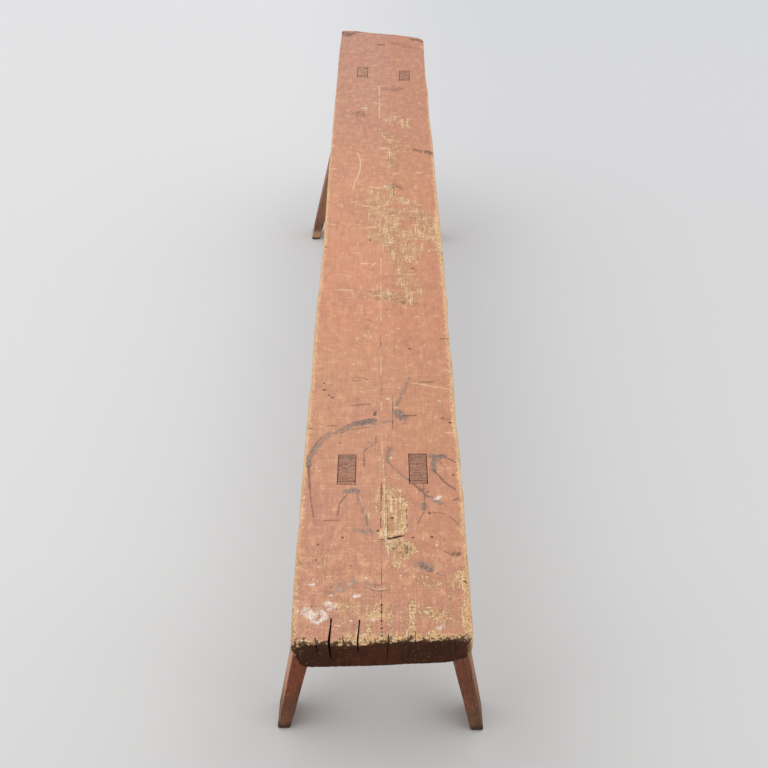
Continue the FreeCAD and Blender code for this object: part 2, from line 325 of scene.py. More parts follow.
def path_distance(points: np.ndarray, places: Iterable[Place]) -> tuple[np.ndarray, np.ndarray]:
    """How far points lie from a path of straight runs.

    Args:
        points: The points, across and along the seat, one to a row.
        places: The path's corners, or the one place that it stands for.

    Returns:
        The least distance of each point, in the unit of the places, and the distance from the
        nearest run's endless line, signed by side, which reads right between two points.
    """
    corners = np.array(list(places), float)
    nearest = np.hypot(*(points - corners[0]).T)
    side = nearest.copy()
    for start, end in zip(corners[:-1], corners[1:]):
        run = end - start
        length = math.hypot(*run)
        share = np.clip((points - start) @ run / length**2, 0, 1)
        away = np.hypot(*(points - start - share[:, None] * run).T)
        off = (points - start) @ np.array([run[1], -run[0]]) / length
        side = np.where(away <= nearest, off, side)
        nearest = np.minimum(nearest, away)
    return nearest, side


def near_path(points: np.ndarray, places: list[Place], margin: float) -> np.ndarray:
    """The numbers of the points that lie in a path's box, grown by a margin."""
    low = np.min(places, axis=0) - margin
    high = np.max(places, axis=0) + margin
    return np.flatnonzero(np.all((points > low) & (points < high), axis=1))


@dataclass(frozen=True)
class View:
    """The photograph's camera, and which place on the bench each of its pixels shows.

    Attributes:
        place: Where the camera stands.
        pitch: How far it looks down, in degrees.
        yaw: How far it looks to the right, in degrees.
        lens: Its focal length in millimetres.
        sensor: The width of its sensor in millimetres.
        pixels: The width and height of the picture.
    """

    place: Triple = (0.01175, -2.37825, 1.5546)
    pitch: float = 32.0
    yaw: float = 0.0908
    lens: float = 62.714
    sensor: float = 36.0
    pixels: int = 768

    @property
    def turn(self) -> Euler:
        """The camera's turn."""
        return Euler((math.radians(90 - self.pitch), 0, -math.radians(self.yaw)))

    def at_height(self, pixel: Place, height: float) -> Vector:
        """The place that a pixel shows on a level plane.

        Args:
            pixel: The pixel's place in the picture, from its upper left corner.
            height: The plane's height in metres.

        Returns:
            The place in the frame.
        """
        scale = self.sensor / self.pixels / self.lens
        across, down = ((value - self.pixels / 2) * scale for value in pixel)
        way = self.turn.to_matrix() @ Vector((across, -down, -1))
        start = Vector(self.place)
        return start + way * ((height - start.z) / way.z)


VIEW = View()


class MarkKind(Enum):
    """What a mark on the seat is. The value is the name of the attribute that holds it."""

    BARE = "bare"
    SPILL = "spill"
    SOOT = "soot"
    CHALK = "chalk"


class LineKind(Enum):
    """What a thin line on the seat is. The value starts the names of its two attributes."""

    CRACK = "crack"
    SCRATCH = "scratch"
    STAIN = "stain"


class DotKind(Enum):
    """What a small spot on the seat is. The value starts the names of its two attributes."""

    DENT = "dent"
    CHIP = "chip"


@dataclass(frozen=True)
class Mark:
    """One listed mark on the seat.

    Attributes:
        kind: What the mark is.
        reach: Half of its width, in millimetres.
        strength: How strong it is, from 0 to 1.
        places: The pixels of the photograph that its line runs through.
    """

    kind: MarkKind
    reach: float
    strength: float
    places: tuple[Place, ...]


@dataclass(frozen=True)
class Line:
    """One listed crack or scratch on the seat.

    Attributes:
        kind: What the line is.
        width: Half of its width, in millimetres.
        places: The pixels of the photograph that it runs through.
        depth: How deep it is cut into the wood, in millimetres, or 0 where it is only drawn.
    """

    kind: LineKind
    width: float
    places: tuple[Place, ...]
    depth: float = 0.0


@dataclass(frozen=True)
class Split:
    """A drying split that opens from the top and the end face of the near end.

    Attributes:
        tip: The pixel where it ends on the top.
        mouth: The pixel where it reaches the end's upper edge.
        width: Its width at the mouth, in millimetres.
        drop: How far it runs down the end face, in millimetres.
        lean: How far its lower end lies to the right of its mouth, in millimetres.
    """

    tip: Place
    mouth: Place
    width: float
    drop: float
    lean: float


# Each row: half of the mark's width in millimetres, its strength from 0 to 1, and the pixels of
# the photograph that its line runs through.
MARK_ROWS = {
    MarkKind.BARE: (
        (7, 0.6, (344, 109.8), (346.5, 109.8)), (26, 0.3, (346, 88), (354, 130)),
        (26, 0.32, (386, 100), (402, 118)), (30, 0.3, (345, 140), (368, 150)),
        (14, 0.55, (386, 119), (392, 124)), (14, 0.6, (402, 121), (409, 128)),
        (22, 0.54, (385, 132), (400, 150)), (15, 0.62, (388, 148), (393, 165)),
        (7, 0.95, (386, 186), (391, 190)), (5, 0.95, (391, 184), (391.5, 196)),
        (9, 0.85, (398, 198), (403, 203)), (18, 0.62, (397, 198), (414, 204)),
        (20, 0.66, (372, 201), (376, 217)), (4, 0.95, (378, 203), (379, 208)),
        (5, 0.95, (371, 234), (381, 235)), (28, 0.7, (390, 212), (390, 238)),
        (20, 0.6, (374, 198), (378, 240)), (22, 0.58, (376, 192), (384, 204)),
        (26, 0.56, (398, 262), (414, 292)), (6, 0.65, (389.5, 220), (392, 232)),
        (26, 0.7, (400, 233), (430, 237)), (13, 1.0, (437, 222), (439, 238)),
        (24, 0.66, (415, 210), (428, 232)), (22, 0.68, (409, 246), (410, 259)),
        (20, 0.64, (385, 241), (400, 256)), (4, 0.9, (421.5, 244), (421.8, 250)),
        (3, 0.9, (429, 249), (429, 252)), (9, 0.75, (437, 242), (442, 262)),
        (16, 0.45, (345, 205), (365, 215)), (40, 0.34, (375, 165), (410, 185)),
        (36, 0.36, (362, 190), (366, 235)), (18, 0.6, (403, 271), (408, 300)),
        (26, 0.62, (382, 295), (408, 300)), (22, 0.42, (362, 292), (376, 296)),
        (22, 0.4, (388, 276), (412, 284)), (14, 0.42, (358, 312), (366, 340)),
        (5, 0.6, (396, 341), (396, 352)), (7, 0.75, (379, 492), (379, 512)),
        (5, 0.95, (385, 487), (385, 536)), (12, 0.66, (396, 493), (396, 522)),
        (6, 0.9, (403, 500), (402.5, 532)), (8, 1.0, (381, 533), (388, 538)),
        (8, 1.0, (393, 532.5), (402, 530.5)), (10, 0.42, (383, 460), (385, 484)),
        (18, 0.78, (389, 492), (399, 502)), (16, 0.64, (392, 508), (397, 528)),
        (16, 0.92, (393, 544), (408, 549)), (8, 1.0, (401, 555), (405, 557)),
        (7, 0.9, (395, 559), (397, 566)), (9, 0.5, (320, 555), (328, 575)),
        (16, 0.68, (427, 611), (450, 620)), (12, 0.72, (422, 578), (432, 584)),
        (10, 0.95, (461, 575), (465, 585)), (5, 0.66, (449, 576), (451.5, 606)),
        (4, 0.8, (391, 606), (390.5, 636)), (5.5, 0.95, (412.5, 602), (411, 638)),
        (3, 0.8, (402, 612), (402, 630)), (7, 0.9, (433, 631), (433, 640)),
        (4, 1.0, (368.7, 625), (369, 640)), (18, 0.6, (340, 604), (376, 612)),
        (16, 0.55, (345, 620), (352, 634)), (8, 0.7, (360, 636), (378, 637)),
        (8, 0.9, (397, 637), (401, 637)), (9, 0.9, (466, 605), (467.5, 628)),
    ),
    MarkKind.SPILL: (
        (16, 0.42, (378, 131), (402, 136)), (16, 0.42, (408, 103), (424, 112)),
        (14, 0.4, (334, 112), (350, 118)), (10, 0.4, (395, 128), (399, 130)),
        (12, 0.25, (392, 98), (408, 105)), (5, 0.6, (371, 321), (376, 324)),
        (8, 0.35, (396, 319.5), (408, 319.5)),
        (4, 0.8, (410.6, 377.5), (406.3, 385), (402.5, 393.8), (397.5, 402.5), (396, 406)),
        (9, 1.0, (398, 412.5), (402, 418.5)), (3, 0.8, (382.5, 422.5), (390, 421.4)),
        (12, 0.28, (322, 386), (328, 392)), (7, 1.4, (373, 420.5), (364, 422.5), (357, 423.5)),
        (5.5, 0.85, (373, 423.5), (362, 423), (350, 426), (342, 429.6)),
        (7, 0.72, (342, 429.6), (336, 431.6), (328.8, 434.6), (322.5, 439)),
        (6.5, 0.76, (322.5, 439), (317.5, 445), (313.1, 451.3), (309.8, 457.5)),
        (5, 0.95, (309.2, 456), (308.6, 466)), (3.5, 0.8, (370, 442.5)),
        (5, 0.8, (389.5, 448), (389, 456)),
        (3, 0.95, (387.3, 457), (388.3, 462), (393, 467.4), (400, 473.4), (409, 480)),
        (4.5, 1.0, (423.8, 504.5), (423.8, 509)), (5, 0.9, (432, 497.5), (440, 503.5)),
        (6, 1.15, (431.5, 455.6), (438, 457), (443.5, 455.6)),
        (4.5, 1.1, (435, 458), (433.4, 465), (434.2, 471)), (3, 0.7, (421.3, 449.4)),
        (6, 1.0, (346, 491.5), (352, 490.5), (357.5, 491.5)),
        (4, 0.75, (357.5, 493.8), (361.3, 506.3), (364.4, 513.8), (366.9, 520), (369.5, 531)),
        (7, 0.6, (357, 530), (371, 534)), (4, 0.6, (317, 524.2), (321, 524.6)),
        (8, 0.45, (322, 455), (330, 458)), (8, 0.35, (409, 515), (412, 530)),
        (12, 0.62, (332, 592), (343, 587), (355, 583)), (4, 0.7, (368, 583), (378, 586)),
        (9, 0.9, (420, 565), (429, 567.5)), (5, 0.5, (436, 548), (444, 550.5)),
    ),
    MarkKind.SOOT: (
        (13, 0.9, (344.5, 33), (352, 33.6)), (7, 1.0, (345, 35.3), (349.5, 35.6)),
        (6, 1.1, (356, 31.6), (360, 32)), (5, 0.6, (376, 33.6), (382, 34.4)),
        (5, 0.5, (390, 35.2), (399, 36.2)), (5, 0.5, (405, 37), (409, 37.4)),
        (10, 0.85, (413, 39.4), (423, 41.6)), (5, 1.2, (378.8, 44.8), (383.8, 44.9)),
        (14, 0.55, (393, 43.2), (405, 44.4)), (14, 0.55, (405, 46.3), (412.7, 48)),
        (11, 0.62, (384.5, 88.6), (391, 89.9), (397.5, 89.6), (401, 88.4)),
        (13, 0.55, (352, 113), (357, 115)), (12, 0.65, (360, 112.5), (363.5, 115.5)),
        (9, 0.8, (415, 150), (431, 154)), (7, 1.0, (426, 151.6), (432, 153)),
        (12, 0.4, (390, 160), (396, 166)), (13, 0.62, (393, 185.5), (400, 188.5)),
        (18, 0.38, (416, 217), (429, 230)), (7, 0.3, (334, 222), (350, 229)),
        (20, 0.42, (383, 296), (407, 301)), (6, 0.7, (386, 309), (390, 310)),
        (4, 0.8, (403, 302.5), (405, 303.5)), (3, 0.7, (366, 319.8), (371, 320.6)),
        (3, 0.9, (375.8, 411.2), (374.8, 415.6)), (3, 0.6, (397.5, 424), (406, 423.6)),
        (4, 0.8, (442.5, 418.2), (447.5, 419.4)), (5, 0.5, (373, 421), (358, 423.4)),
        (3.5, 0.95, (429.4, 513.1)), (13, 0.6, (395, 546), (407, 550)),
        (7, 0.6, (301, 562), (306, 561)), (4, 0.7, (424, 566), (430.5, 571)), (3, 0.85, (437.5, 573)),
        (5, 0.9, (455, 553.8), (458, 554)), (12, 0.42, (428, 613), (447, 618)),
        (3, 0.9, (386.5, 638), (391, 637.5)), (3, 0.8, (405, 638), (412, 637.5)),
        (4, 0.7, (294, 643), (300, 641)), (3, 0.6, (462, 637), (467, 634)),
        (3, 0.5, (342, 640), (352, 639.5)), (2.6, 0.5, (292.5, 622), (293, 632)),
    ),
    MarkKind.CHALK: (
        (4, 1.0, (362, 108.1), (366, 108.1)), (3, 0.7, (352.2, 98.7)), (3, 0.6, (354, 102.6)),
        (3, 0.9, (408.6, 119.8)), (3, 0.7, (333, 224.4)), (12, 0.25, (326, 357), (333, 361)),
        (3, 1.0, (435, 499), (440.5, 497)), (4, 0.4, (354, 523.2), (359, 523.4)),
        (3, 0.4, (413, 529), (420, 527)), (3, 0.9, (310.5, 584.8), (313, 584.3)),
        (3, 0.9, (354, 596.5), (359, 595.6)), (5, 0.3, (340, 590), (350, 583)),
        (9, 0.64, (302.5, 611), (307, 612.5)),
        (4, 0.88, (311, 611.5), (309.5, 617), (313, 621.6), (318, 622.4), (323, 619.5),
         (325, 615.5), (321, 611.5)),
        (4, 0.72, (324.8, 606.5), (328, 602.8), (333, 604), (334, 608), (329, 610)),
        (13, 0.4, (306, 611), (320, 616)), (4, 0.8, (313, 615), (317, 613.6)),
        (6, 0.5, (368, 620.5), (372, 620)), (5, 0.55, (438.5, 627.3), (442.5, 627)),
        (3, 0.75, (458, 638.6), (463.5, 638.8)),
    ),
}
MARKS = [
    Mark(kind, reach, strength, tuple(places))
    for kind, rows in MARK_ROWS.items()
    for reach, strength, *places in rows
]

# Each row: half of the line's width in millimetres, and the pixels that it runs through. Where the
# width is about 0 or less, only the ragged parts of the line show.
LINE_ROWS = {
    LineKind.SCRATCH: (
        (2.0, (416, 173), (422, 172.6)), (0.5, (359.5, 496), (362.6, 506)),
        (0.3, (368, 585.8), (374, 589), (383, 589.4)), (0.9, (404, 571.3), (410, 569)),
        (1.0, (426, 607.8), (431, 607.3)), (0.9, (437.5, 584.3), (442, 583.8)),
        (1.4, (379.3, 86.4), (379.3, 95.3)), (1.0, (379.3, 97.6), (379.3, 118.7)),
        (1.7, (374.6, 103.7), (383.7, 103.9)), (1.7, (390.2, 116.2), (400.2, 116.2)),
        (1.6, (385.8, 118.5), (385.8, 122)), (1.6, (394.7, 117.5), (394.7, 120.5)),
        (1.2, (402.4, 119), (402.4, 128)), (1.0, (407.5, 118.5), (407.8, 126)),
        (1.3, (357.6, 152.5), (359.5, 156.3), (360.5, 162.5), (360.1, 170), (357.6, 176.9)),
        (1.3, (357.6, 176.9), (355.1, 181.3), (353.9, 186.3), (353, 190)),
        (0.7, (352, 198.5), (351.8, 203)), (1.8, (331, 168.8), (335.5, 168.6)),
        (2.0, (368, 187), (382, 187.2)), (1.5, (358, 204.5), (372, 207)),
        (0.9, (380, 219), (380.2, 232)), (0.8, (393, 250), (393.3, 260)),
        (0.8, (380.8, 257.5), (380.9, 273.8)), (1.8, (361, 263.5), (368, 263.5)),
        (1.6, (372, 266), (376, 263)), (1.4, (406, 274.4), (414.5, 274.4)),
        (1.8, (352, 253.1), (359.5, 253.1)), (0.7, (380.8, 282), (381, 300)),
        (0.6, (380.8, 300), (380.9, 322)), (0.8, (381, 356), (381, 375)),
        (0.5, (381.2, 402), (381.4, 411)), (1.4, (335, 289.8), (352, 290.4)),
        (1.4, (366.5, 289.5), (377.5, 289.5)), (1.1, (412.5, 383.1), (422.5, 384.4), (450, 389.4)),
        (0.4, (381.7, 432.5), (382.2, 450), (384.3, 480), (384.4, 527)),
    ),
    LineKind.STAIN: (
        (2.0, (440.5, 338.8), (447, 338.8)), (1.8, (421, 382.2), (432.5, 382)),
        (2.0, (404, 415.6), (415, 415.4)),
        (0.9, (351.5, 378.5), (357, 377.2), (363, 377.8), (367.5, 379.6)),
        (0.7, (352, 380.8), (360, 380.4)), (1.4, (351, 406), (360, 404.6), (370, 404.2)),
        (1.7, (308.6, 466), (309.2, 478.8), (309.8, 489)),
        (0.9, (309.8, 489), (311, 499), (312.6, 510), (313.4, 517)),
        (0.9, (372.5, 426.9), (365, 427.5), (357.5, 428.8), (348.8, 430), (342, 432.8)),
        (0.7, (374.5, 418.8), (364, 420), (354, 422.6), (345, 426.4)),
        (0.5, (326, 434.4), (319, 440), (314.4, 446.5), (311, 453)),
        (1.4, (327.5, 425.8), (336, 425.9)), (1.4, (309, 428.4), (311.5, 428.6)),
        (0.8, (376.2, 437), (375.6, 442.5), (371, 446.6), (365, 449.4)),
        (0.8, (365, 449.4), (363.3, 453), (364.3, 466)),
        (1.6, (409, 480), (416, 486), (423, 492.8), (429, 497)),
        (0.9, (423.3, 484), (424, 492), (424.4, 503), (424.2, 512), (421, 517), (418.2, 524)),
        (0.8, (432.5, 513), (440, 512.5), (447.5, 515), (452.5, 518.8), (458.8, 525)),
        (1.8, (454, 500), (457.5, 498.6)), (1.3, (443.8, 457), (450, 459.4), (455, 462)),
        (1.6, (434.4, 471.3), (440, 476.9), (443.8, 481.3), (450, 486.3), (455, 489.4)),
        (0.7, (438, 459.4), (441.3, 463.8), (443.8, 467.5)),
        (1.0, (346.3, 495), (341.3, 501.3), (339.4, 505), (338.1, 511.3), (337.5, 515)),
        (1.0, (323.8, 520.4), (338.8, 520.4)),
        (0.6, (364, 587), (368, 587.6), (373, 590.4), (381, 591), (390, 589.6)),
        (0.4, (369, 585.2), (377, 584.6), (382, 586.6)),
    ),
    LineKind.CRACK: (
        (0.6, (393.3, 190), (393.9, 197.5)), (0.1, (392, 270), (392.2, 312)),
        (-0.05, (395, 320), (394.6, 357)), (0.3, (392.5, 395), (392.8, 430)),
        (0.3, (380.6, 335), (380.7, 347)), (0.1, (381, 376), (381.2, 401)),
        (0.0, (379.4, 435), (379.6, 457)), (0.0, (385.8, 457.5), (387, 500)),
        (0.25, (387.2, 500), (387.8, 537.5)), (0.5, (381.3, 483.8), (381.2, 500)),
        (0.0, (381.2, 500), (381, 517)), (0.5, (381, 517), (380.8, 527.5)),
        (0.0, (388.5, 432.5), (388.1, 447.5)), (0.1, (406.5, 507.5), (406.9, 524)),
        (0.5, (406.9, 524), (407, 528.5)), (0.0, (381.1, 541), (381.3, 560)),
        (0.25, (381.3, 560), (381.6, 585)), (0.3, (381.6, 602), (382, 638)),
        (0.0, (381.6, 590), (381.6, 602)), (-0.1, (391, 573), (391, 589.5)),
        (0.0, (381, 589.6), (392, 589.4)), (-0.05, (405, 575), (450, 575.3)),
        (0.1, (436.3, 532.5), (446.3, 541.9)), (0.2, (433.1, 546.3), (445, 551.3), (457, 558)),
        (0.0, (307.8, 624), (305.5, 640)),
    ),
}
# The same with the depth of the cut, in millimetres, after the width.
DEEP_CRACK_ROWS = (
    (0.6, 2, (378.1, 540), (387.5, 538.8)), (1.1, 4, (387, 538.9), (393.8, 537.5)),
    (1.5, 5, (393.5, 537.6), (399, 536.3), (402.5, 535.8)), (0.7, 3, (402.3, 535.8), (404.8, 535.5)),
)
LINES = [
    Line(kind, width, tuple(places)) for kind, rows in LINE_ROWS.items() for width, *places in rows
]
DEEP_CRACKS = [
    Line(LineKind.CRACK, width, tuple(places), depth) for width, depth, *places in DEEP_CRACK_ROWS
]

# For each kind and each half width in millimetres, the pixels that show such spots.
DOTS = {
    DotKind.DENT: {
        2.6: ((369.9, 240),),
        2.4: ((412.9, 268.4), (324.4, 390)),
        2.2: ((450, 422.5), (409.6, 348.8), (391.9, 518), (325.8, 246.9), (426.6, 481.8), (442.6, 252.5)),
        2.0: ((324.4, 383.1), (378, 531), (431.9, 536.9), (353.9, 482.6)),
        1.8: ((427.5, 491.9), (329, 395), (332.5, 397.5), (411, 636.5), (464.5, 581.3)),
        1.7: ((453.1, 475), (342.5, 537.5), (381.5, 605), (381.6, 612), (381.8, 621), (381.9, 628)),
        1.6: ((413, 537.5), (382, 635.5)),
        1.5: ((318, 544.4), (393, 497.5), (413, 455)),
        1.4: ((311.5, 606.5), (466, 582), (431.5, 614)),
        1.3: ((331.2, 587.2), (351, 566), (340, 443)),
        1.2: ((316, 560),),
    },
    DotKind.CHIP: {
        2.6: ((389, 167), (386.9, 398.8)),
        2.5: ((406, 307.9),),
        2.4: ((393.5, 148),),
        2.2: (
            (358, 182), (331, 595.5), (366, 578), (312, 615.5), (351, 621), (436.9, 545), (387, 156),
            (389.4, 316), (365, 297), (366, 335.6), (353.4, 364.4), (439.4, 400.9), (391, 457.5),
        ),
        2.0: ((384.5, 147.5), (358, 338.8), (399.4, 387.5)),
        1.8: ((358.3, 184.4), (400.5, 575.5), (386, 335.2), (389.5, 335.2), (396, 407.5), (339, 626)),
        1.6: ((377, 604),),
        1.4: ((319.5, 471), (317, 581.5)),
    },
}

SPLITS = (
    Split((331.2, 618.5), (327.8, 641), 4.2, 28, 3.4),
    Split((359.6, 620), (356.2, 640.5), 3.6, 18, 2.2),
    Split((315, 638), (314.6, 642), 3.4, 23, 5.0),
    Split((342.5, 637), (343.2, 640.5), 2.6, 6, 3.0),
    Split((388.6, 634), (388.6, 639.5), 1.4, 42, -2.4),
    Split((415, 630), (415.5, 640), 1.2, 9, 0.5),
)


@dataclass(frozen=True)
class Layer:
    """A colour that shows over the one below where a pattern is high.

    Attributes:
        pattern: The pattern's name.
        low: Where it starts to show.
        high: Where it shows most.
        strength: How much of it shows there.
        colour: Its colour.
    """

    pattern: str
    low: float
    high: float
    strength: float
    colour: str


def add_layers(tree: Tree, colour: str | Socket, patterns: Sockets, layers: tuple[Layer, ...]) -> Socket:
    """Lays colours over one another, each where its pattern is high.

    Args:
        tree: The material's node tree.
        colour: The colour below them all.
        patterns: The material's patterns, by name.
        layers: The colours to add, from the lowest up.

    Returns:
        The new colour.
    """
    for layer in layers:
        reach = {0: patterns[layer.pattern], 1: layer.low, 2: layer.high, 4: layer.strength}
        amount = add_node(tree, "MapRange", reach, **SMOOTH)
        colour = add_node(tree, "Mix", {0: amount, 6: colour, 7: layer.colour}, **BLEND)
    return colour


def add_patterns(tree: Tree, place: Socket, sizes: dict[str, tuple], made: Sockets) -> None:
    """Adds noise patterns, each moved by its own step so that no two are alike.

    Args:
        tree: The material's node tree.
        place: The place that a point has in them.
        sizes: For each pattern, how large its lumps are along X, Y and Z in millimetres, and its
            amount of finer detail.
        made: The patterns so far, by name, which the new ones join.
    """
    for pattern, (*lumps, detail) in sizes.items():
        scale = [1 / (size * MM) for size in lumps]
        shift = [PATTERN_STEP * len(made)] * 3
        scaled = add_node(tree, "Mapping", {"Vector": place, "Scale": scale, "Location": shift})
        noise_inputs = {"Vector": scaled, "Scale": 1.0, "Detail": detail, "Roughness": 0.6}
        made[pattern] = add_node(tree, "TexNoise", noise_inputs)


def tones_along(tree: Tree, along: Socket, tones: Tones) -> Socket:
    """Makes a colour that changes along the bench.

    Args:
        tree: The material's node tree.
        along: How far along the bench a point lies, in metres.
        tones: The colour at each of some places along it, in order.

    Returns:
        The colour.
    """
    start, end = tones[0][0], tones[-1][0]
    share = add_node(tree, "MapRange", {0: along, 1: start, 2: end})
    tone = add_node(tree, "ValToRGB", {0: share})
    stops = tone.node.color_ramp.elements
    for index, (place, colour) in enumerate(tones):
        position = (place - start) / (end - start)
        stop = stops[index] if index < 2 else stops.new(position)
        stop.position = position
        stop.color = linear(colour)
    return tone


def uneven_tone(tree: Tree, colour: Socket, patterns: Sockets, gains: dict[str, float]) -> Socket:
    """Makes a colour lighter and darker by patterns.

    Args:
        tree: The material's node tree.
        colour: The colour.
        patterns: The material's patterns, by name.
        gains: How much each pattern changes the colour's value, by name.

    Returns:
        The uneven colour.
    """
    tone = 1 - sum(gains.values()) / 2
    for pattern, gain in gains.items():
        tone = add_node(tree, "Math", {0: patterns[pattern], 1: gain, 2: tone}, operation="MULTIPLY_ADD")
    return add_node(tree, "HueSaturation", {"Color": colour, "Value": tone})


def add_surface(
    tree: Tree, colour: Socket, rough: float, shine: float = 0.22,
    relief: tuple[Socket, float, float] | None = None,
) -> None:
    """Ends a material in a dull surface.

    Args:
        tree: The material's node tree.
        colour: The surface's colour.
        rough: Its roughness.
        shine: Its specular level, lower than bare plastic's for wood and old paint.
        relief: The height pattern, how strongly it shows and how high it is, if there's one.
    """
    inputs = {"Base Color": colour, "Roughness": rough, "Specular IOR Level": shine}
    if relief is not None:
        height, strength, distance = relief
        bumpy = {"Height": height, "Strength": strength, "Distance": distance}
        inputs["Normal"] = add_node(tree, "Bump", bumpy)
    shader = add_node(tree, "BsdfPrincipled", inputs)
    add_node(tree, "OutputMaterial", {"Surface": shader})


@dataclass(frozen=True)
class WornPaint:
    """Thin red earth paint on pine, brushed by hand, sun-bleached and rubbed through.

    The eye sees a dull salmon coat, blotched and speckled, with the grain showing in it. It sees
    yellow wood in streaks where the coat has rubbed off, grey-blue spills, pale chips and dark
    dents. The fibres and specks are drawn about twice as coarse as real ones, so that they show.

    Attributes:
        coat: The coat's colour at places along the bench, in metres.
        darker: From where to where, across the bench, the coat turns darker.
        speckled: Between which places along the bench the near end's speckles thin out.
        clear: How much of those speckles is held back beyond, as a pattern's value.
        patch_pull: How much the large patches steer where the net of rubbed streaks shows.
        sizes: The patterns' lump sizes and detail, as add_patterns takes them.
        edges: For each mark, the pattern that makes its edge ragged, how ragged it is, and where
            it starts and ends. Thin lines and spots go from minus to plus half of their soft edge.
        tones: How much each pattern changes the finished colour's value.
    """

    coat: Tones = (
        (-1.19, "#c99177"), (-0.9, "#cf957a"), (-0.62, "#d39b7b"), (-0.4, "#da9979"),
        (0.1, "#dc9d7e"), (0.4, "#d0977d"), (1.19, "#c49281"),
    )
    coat_layers: tuple[Layer, ...] = (
        Layer("blotch", 0.46, 0.62, 0.4, "#c78c7b"),
        Layer("patch", 0.50, 0.64, 0.4, "#d9a081"),
        Layer("smudge", 0.54, 0.70, 0.25, "#b98571"),
        Layer("scuff", 0.60, 0.70, 0.5, "#e3b898"),
        Layer("scuff", 0.39, 0.29, 0.4, "#ae7a63"),
        Layer("right", 0.0, 1.0, 0.35, "#c88a6b"),
        Layer("net", 0.73, 0.80, 0.35, "#e6bd9c"),
        Layer("near_patch", 0.50, 0.64, 0.35, "#dbae84"),
        Layer("near_fleck", 0.58, 0.70, 0.4, "#e3bb92"),
        Layer("near_pit", 0.58, 0.70, 0.6, "#8a5b48"),
    )
    pine: str = "#e9c69b"
    pine_layers: tuple[Layer, ...] = (
        Layer("streak", 0.44, 0.62, 0.65, "#cf9d66"),
        Layer("smudge", 0.52, 0.66, 0.5, "#c39468"),
        Layer("grime", 0.53, 0.62, 0.7, "#946941"),
        Layer("fibre", 0.54, 0.68, 0.8, "#f5e0c2"),
        Layer("pit", 0.58, 0.68, 0.8, "#6a4c2e"),
        Layer("flakes", 0.64, 0.72, 0.8, "#fbead0"),
        Layer("near_fleck", 0.50, 0.62, 0.6, "#bb854f"),
        Layer("near_pit", 0.54, 0.64, 0.6, "#5f4226"),
    )
    rim: str = "#ebc298"
    rim_layers: tuple[Layer, ...] = (
        Layer("streak", 0.46, 0.62, 0.55, "#d19f6b"),
        Layer("fibre", 0.54, 0.68, 0.6, "#f3dcb8"),
        Layer("near_fleck", 0.46, 0.62, 0.6, "#c2905f"),
        Layer("grime", 0.57, 0.66, 0.5, "#a07a4e"),
        Layer("near_pit", 0.54, 0.64, 0.75, "#6b4a2e"),
    )
    thin: str = "#ad8462"
    # The ends' colour: dark old end grain, made darker still as painted shade of the near end face, which
    # faces away from the light.
    end_grain_and_shade: str = "#3f1f0b"
    end_grain_and_shade_layers: tuple[Layer, ...] = (
        Layer("saw", 0.40, 0.62, 0.6, "#35190b"),
        Layer("patch", 0.48, 0.62, 0.7, "#381808"),
        Layer("smudge", 0.50, 0.64, 0.6, "#552812"),
        Layer("ragged", 0.54, 0.66, 0.5, "#5e3a1c"),
        Layer("fleck", 0.62, 0.70, 0.2, "#7c5336"),
    )
    old_bare: str = "#8d6c4e"
    old_bare_layers: tuple[Layer, ...] = (
        Layer("streak", 0.42, 0.62, 0.8, "#6d4f36"),
        Layer("patch", 0.48, 0.68, 0.6, "#a5835f"),
        Layer("pit", 0.58, 0.7, 0.7, "#4b3322"),
    )
    crack: str = "#33201a"
    spill: str = "#8a7b73"
    spill_layers: tuple[Layer, ...] = (
        Layer("ragged", 0.48, 0.60, 0.8, "#b09a8c"),
        Layer("fleck", 0.50, 0.62, 0.8, "#5c4a41"),
    )
    soot: str = "#5c493d"
    crumbs: str = "#432a1a"
    stain: str = "#6d574b"
    chalk: str = "#eee5da"
    chip: str = "#e8ccb0"
    scratch: str = "#ebcda4"
    darker: Pair = (-0.01, 0.07)
    speckled: Pair = (-1.08, -0.84)
    clear: float = 0.1
    patch_pull: float = 0.32
    sizes: tuple[tuple[str, tuple], ...] = (
        ("fibre", (2.0, 45, 3, 3)), ("streak", (3.0, 60, 4, 3)), ("blotch", (60, 120, 60, 3)),
        ("smudge", (30, 26, 30, 4)), ("patch", (13, 22, 13, 4)), ("fleck", (2.4, 4.2, 2.4, 2)),
        ("pit", (2.0, 3.2, 2.0, 2)), ("scuff", (26, 2.6, 26, 3)), ("ragged", (5, 8, 5, 4)),
        ("net_along", (2.2, 44, 2.2, 4)), ("net_across", (26, 4.0, 26, 4)),
        ("flake", (2.8, 7, 2.8, 4)), ("grime", (2.6, 9, 2.6, 3)), ("crumb", (6, 5, 5, 4)),
        ("saw", (1.6, 60, 26, 3)),
    )
    edges: Edges = (
        ("bare", ("net", 3.0, 0.74, 0.98)), ("thin", ("ragged", 1.0, 0.1, 0.9)),
        ("rim", ("ragged", 2.4, 0.35, 0.8)), ("spill", ("ragged", 2.2, 0.32, 1.05)),
        ("soot", ("ragged", 2.2, 0.25, 1.2)), ("chalk", ("mottle", 2.2, 0.2, 1.0)),
        ("crumbs", ("crumb", 3.4, 0.75, 0.9)), ("under", ("ragged", 0.5, 0.4, 0.6)),
        ("end_grain", ("ragged", 2.2, 0.3, 0.75)), ("crack", ("ragged", 2.0, -0.25, 0.25)),
        ("scratch", ("ragged", 3.0, -0.5, 0.5)), ("stain", ("fleck", 6.0, -1.0, 1.0)),
        ("dent", ("ragged", 2.0, -0.5, 0.5)), ("chip", ("ragged", 2.5, -0.6, 0.6)),
    )
    tones: tuple[tuple[str, float], ...] = (
        ("fibre", 0.3), ("streak", 0.3), ("patch", 0.4), ("scuff", 0.15), ("near_fleck", 0.3),
    )

